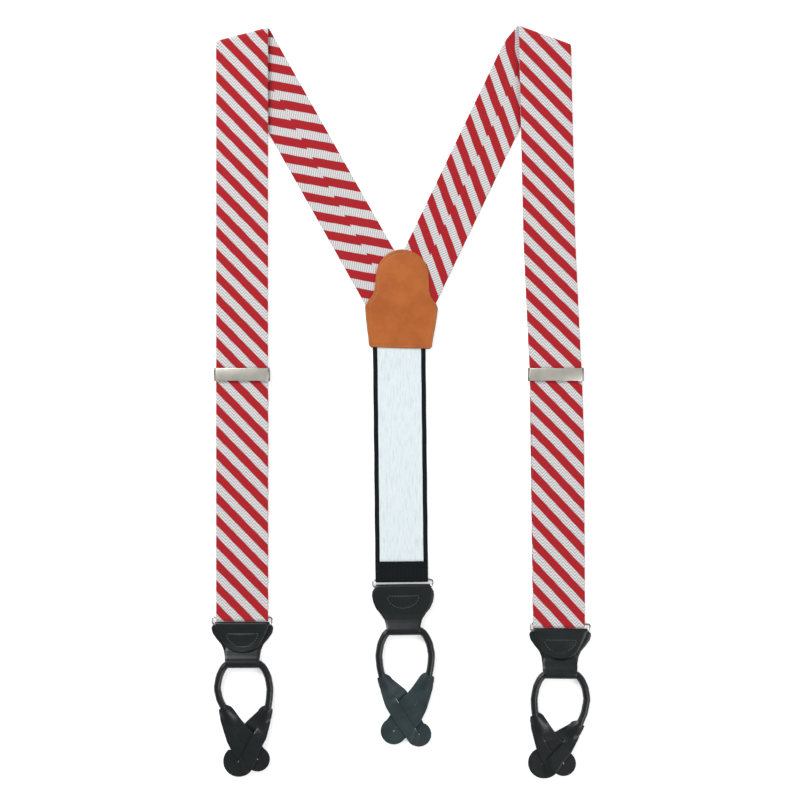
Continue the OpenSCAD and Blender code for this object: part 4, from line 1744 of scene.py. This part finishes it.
@dataclass
class Stage:
    """The pale floor, the soft light and the camera straight above."""

    height: float = 1.4976
    lens: float = 100.0
    over: Place = (-0.00135, 0.00202)
    floor_glow: float = 0.42
    sky_glow: float = 0.34

    def build(self) -> None:
        """Makes the floor, the lights and the camera."""
        deselect()
        bpy.ops.mesh.primitive_plane_add(size=4, location=(0, 0, -0.0004))
        floor = bpy.context.object
        floor.name = "pale_floor"
        paper = Shade("pale_paper", 0.9)
        mottle = paper.noise(paper.place(), 40, 2)
        paper.shader.inputs["Emission Color"].default_value = (1, 1, 1, 1)
        paper.shader.inputs["Emission Strength"].default_value = self.floor_glow
        dress(floor, paper.colour(paper.mix(mottle, (0.93, 0.93, 0.93), (0.95, 0.95, 0.95))))
        self.lamp("key_light", (-0.9, 1.1, 1.3), 32)
        self.lamp("fill_light", (1.2, -0.7, 1.3), 16)
        scene = bpy.context.scene
        world = scene.world or bpy.data.worlds.new("soft_white")
        scene.world = world
        world.use_nodes = True
        sky = world.node_tree.nodes["Background"]
        sky.inputs[0].default_value = (1, 1, 1, 1)
        sky.inputs[1].default_value = self.sky_glow
        scene.view_settings.view_transform = "Standard"
        bpy.ops.object.camera_add(location=(*self.over, self.height), rotation=(0, 0, 0))
        camera = bpy.context.object
        camera.data.lens = self.lens
        camera.data.sensor_width = 36
        camera.data.dof.use_dof = False
        scene.camera = camera

    def lamp(self, name: str, at: tuple[float, float, float], power: float) -> None:
        """Hangs a large soft light that faces the braces.

        Args:
            name: the light's name.
            at: its place in metres.
            power: its power in watts.
        """
        bpy.ops.object.light_add(type="AREA", location=at)
        light = bpy.context.object
        light.name = name
        light.data.size = 1.0
        light.data.energy = power
        flat = math.hypot(at[0], at[1])
        light.rotation_euler = (math.atan2(flat, at[2]), 0, math.atan2(at[1], at[0]) + math.pi / 2)


# ---------------------------------------------------------------- the braces


def straps(finishes: Finishes) -> list[Strap]:
    """Lays out both straps along their own lines.

    Args:
        finishes: the finishes of the braces.

    Returns:
        The left and the right strap.
    """
    left = Strap("left", finishes.left_weave, (-107.5, 245.7), 14.7, 0.0, [(-107.5, 200.0), (-107.5, -136.2)], [],
                 (-107.5, -146.6), 0.0, (-107.5, 19.2))
    out, towards = left.back_start(), np.array([0.4909, -0.8712])
    left.back_line = [tuple(out + t * towards) for t in (20.0, 190.0)]
    right = Strap("right", finishes.right_weave, (96.04, 245.2), -19.85, 1.28,
                  [(99.07, 109.7), (102.2, 42.4), (103.5, 19.2), (105.0, -25.0), (105.6, -140.6)],
                  [(20.7, 103.1), (6.0, 72.2)], (105.7, -151.0), -0.6, (103.4, 19.2))
    out, towards = right.back_start(), np.array([-0.656, -0.755])
    right.back_line.insert(0, tuple(out + 5 * towards))
    return [left, right]


def leather_ends() -> tuple[list[Yoke], list[CordLoop], list[WireRing]]:
    """Lays out the three leather ends.

    Returns:
        The yokes, the cord loops with their tabs, and the wire rings.
    """
    shoulders = [(-3.6, 20.3), (-5.5, 20.6), (-8.5, 19.8), (-12.2, 17.2), (-16.1, 13.9), (-19.9, 12.3), (-24.6, 11.6)]
    domed = [(-3.6, 19.4), (-5.5, 20.4), (-8.1, 20.7), (-12.5, 19.9), (-16.9, 18.0), (-20.5, 15.0), (-24.4, 12.4),
             (-27.0, 11.7)]
    places = {"left": ((-107.5, -146.6), 0.0, 28.2, 1.0), "right": ((106.6, -151.0), -0.6, 31.0, 0.5),
              "back": ((0.6, -121.3), 0.65, 31.4, 1.0)}
    necks = {"left": [(-13, -30.7), (16.3, -30.8)], "right": [(-16.7, -28.6), (12.9, -34)],
             "back": [(-15.6, -31.7), (15.7, -31)]}
    tabs = {
        "left": [Tab("left_outer_tab", necks["left"][0], (9.3, -64.8), 8.3, True, outer=-1),
                 Tab("left_inner_tab", necks["left"][1], (-3.5, -66.5), 10.4, False, 1)],
        "right": [Tab("right_inner_tab", necks["right"][0], (2.5, -60.5), 8.4, True, outer=-1),
                  Tab("right_outer_tab", necks["right"][1], (-10.8, -60.5), 10.4, False, 1)],
        "back": [Tab("back_left_tab", necks["back"][0], (8.7, -70.5), 8.3, False, -1, outer=-1, matt=True),
                 Tab("back_right_tab", necks["back"][1], (-8.2, -68), 8.9, True, matt=True)]}
    yokes, loops, rings = [], [], []
    for name, (centre, turn, reach, shift) in places.items():
        face = Face.SMOOTH_UP if name == "back" else Face.FLAP_UP
        yokes.append(Yoke(name, centre, turn, reach, face, domed if name == "back" else shoulders))
        x, y = placed(np.array(shift), np.array(-reach), centre, turn)
        loops.append(CordLoop(name, (float(x), float(y)), turn, necks[name], tabs[name]))
        rings.append(WireRing(name, centre, turn))
    return yokes, loops, rings


def main() -> None:
    """Builds the stage and the braces in order."""
    for name in ("Cube", "Light", "Camera"):
        if name in bpy.data.objects:
            bpy.data.objects.remove(bpy.data.objects[name])
    Stage().build()
    finishes = Finishes()
    for strap in straps(finishes):
        strap.build(finishes)
    for side in ("left", "right"):
        Adjuster(side).build(finishes)
    yokes, loops, rings = leather_ends()
    for piece in (*rings, *yokes, *loops):
        piece.build(finishes)
        log.info("%s %s is built", piece.name, type(piece).__name__)
    Elastic().build(finishes)
    BackPatch().build(finishes)
    deselect()


if __name__ == "__main__":
    logging.basicConfig(level=logging.INFO, format="%(name)s: %(message)s")
    main()
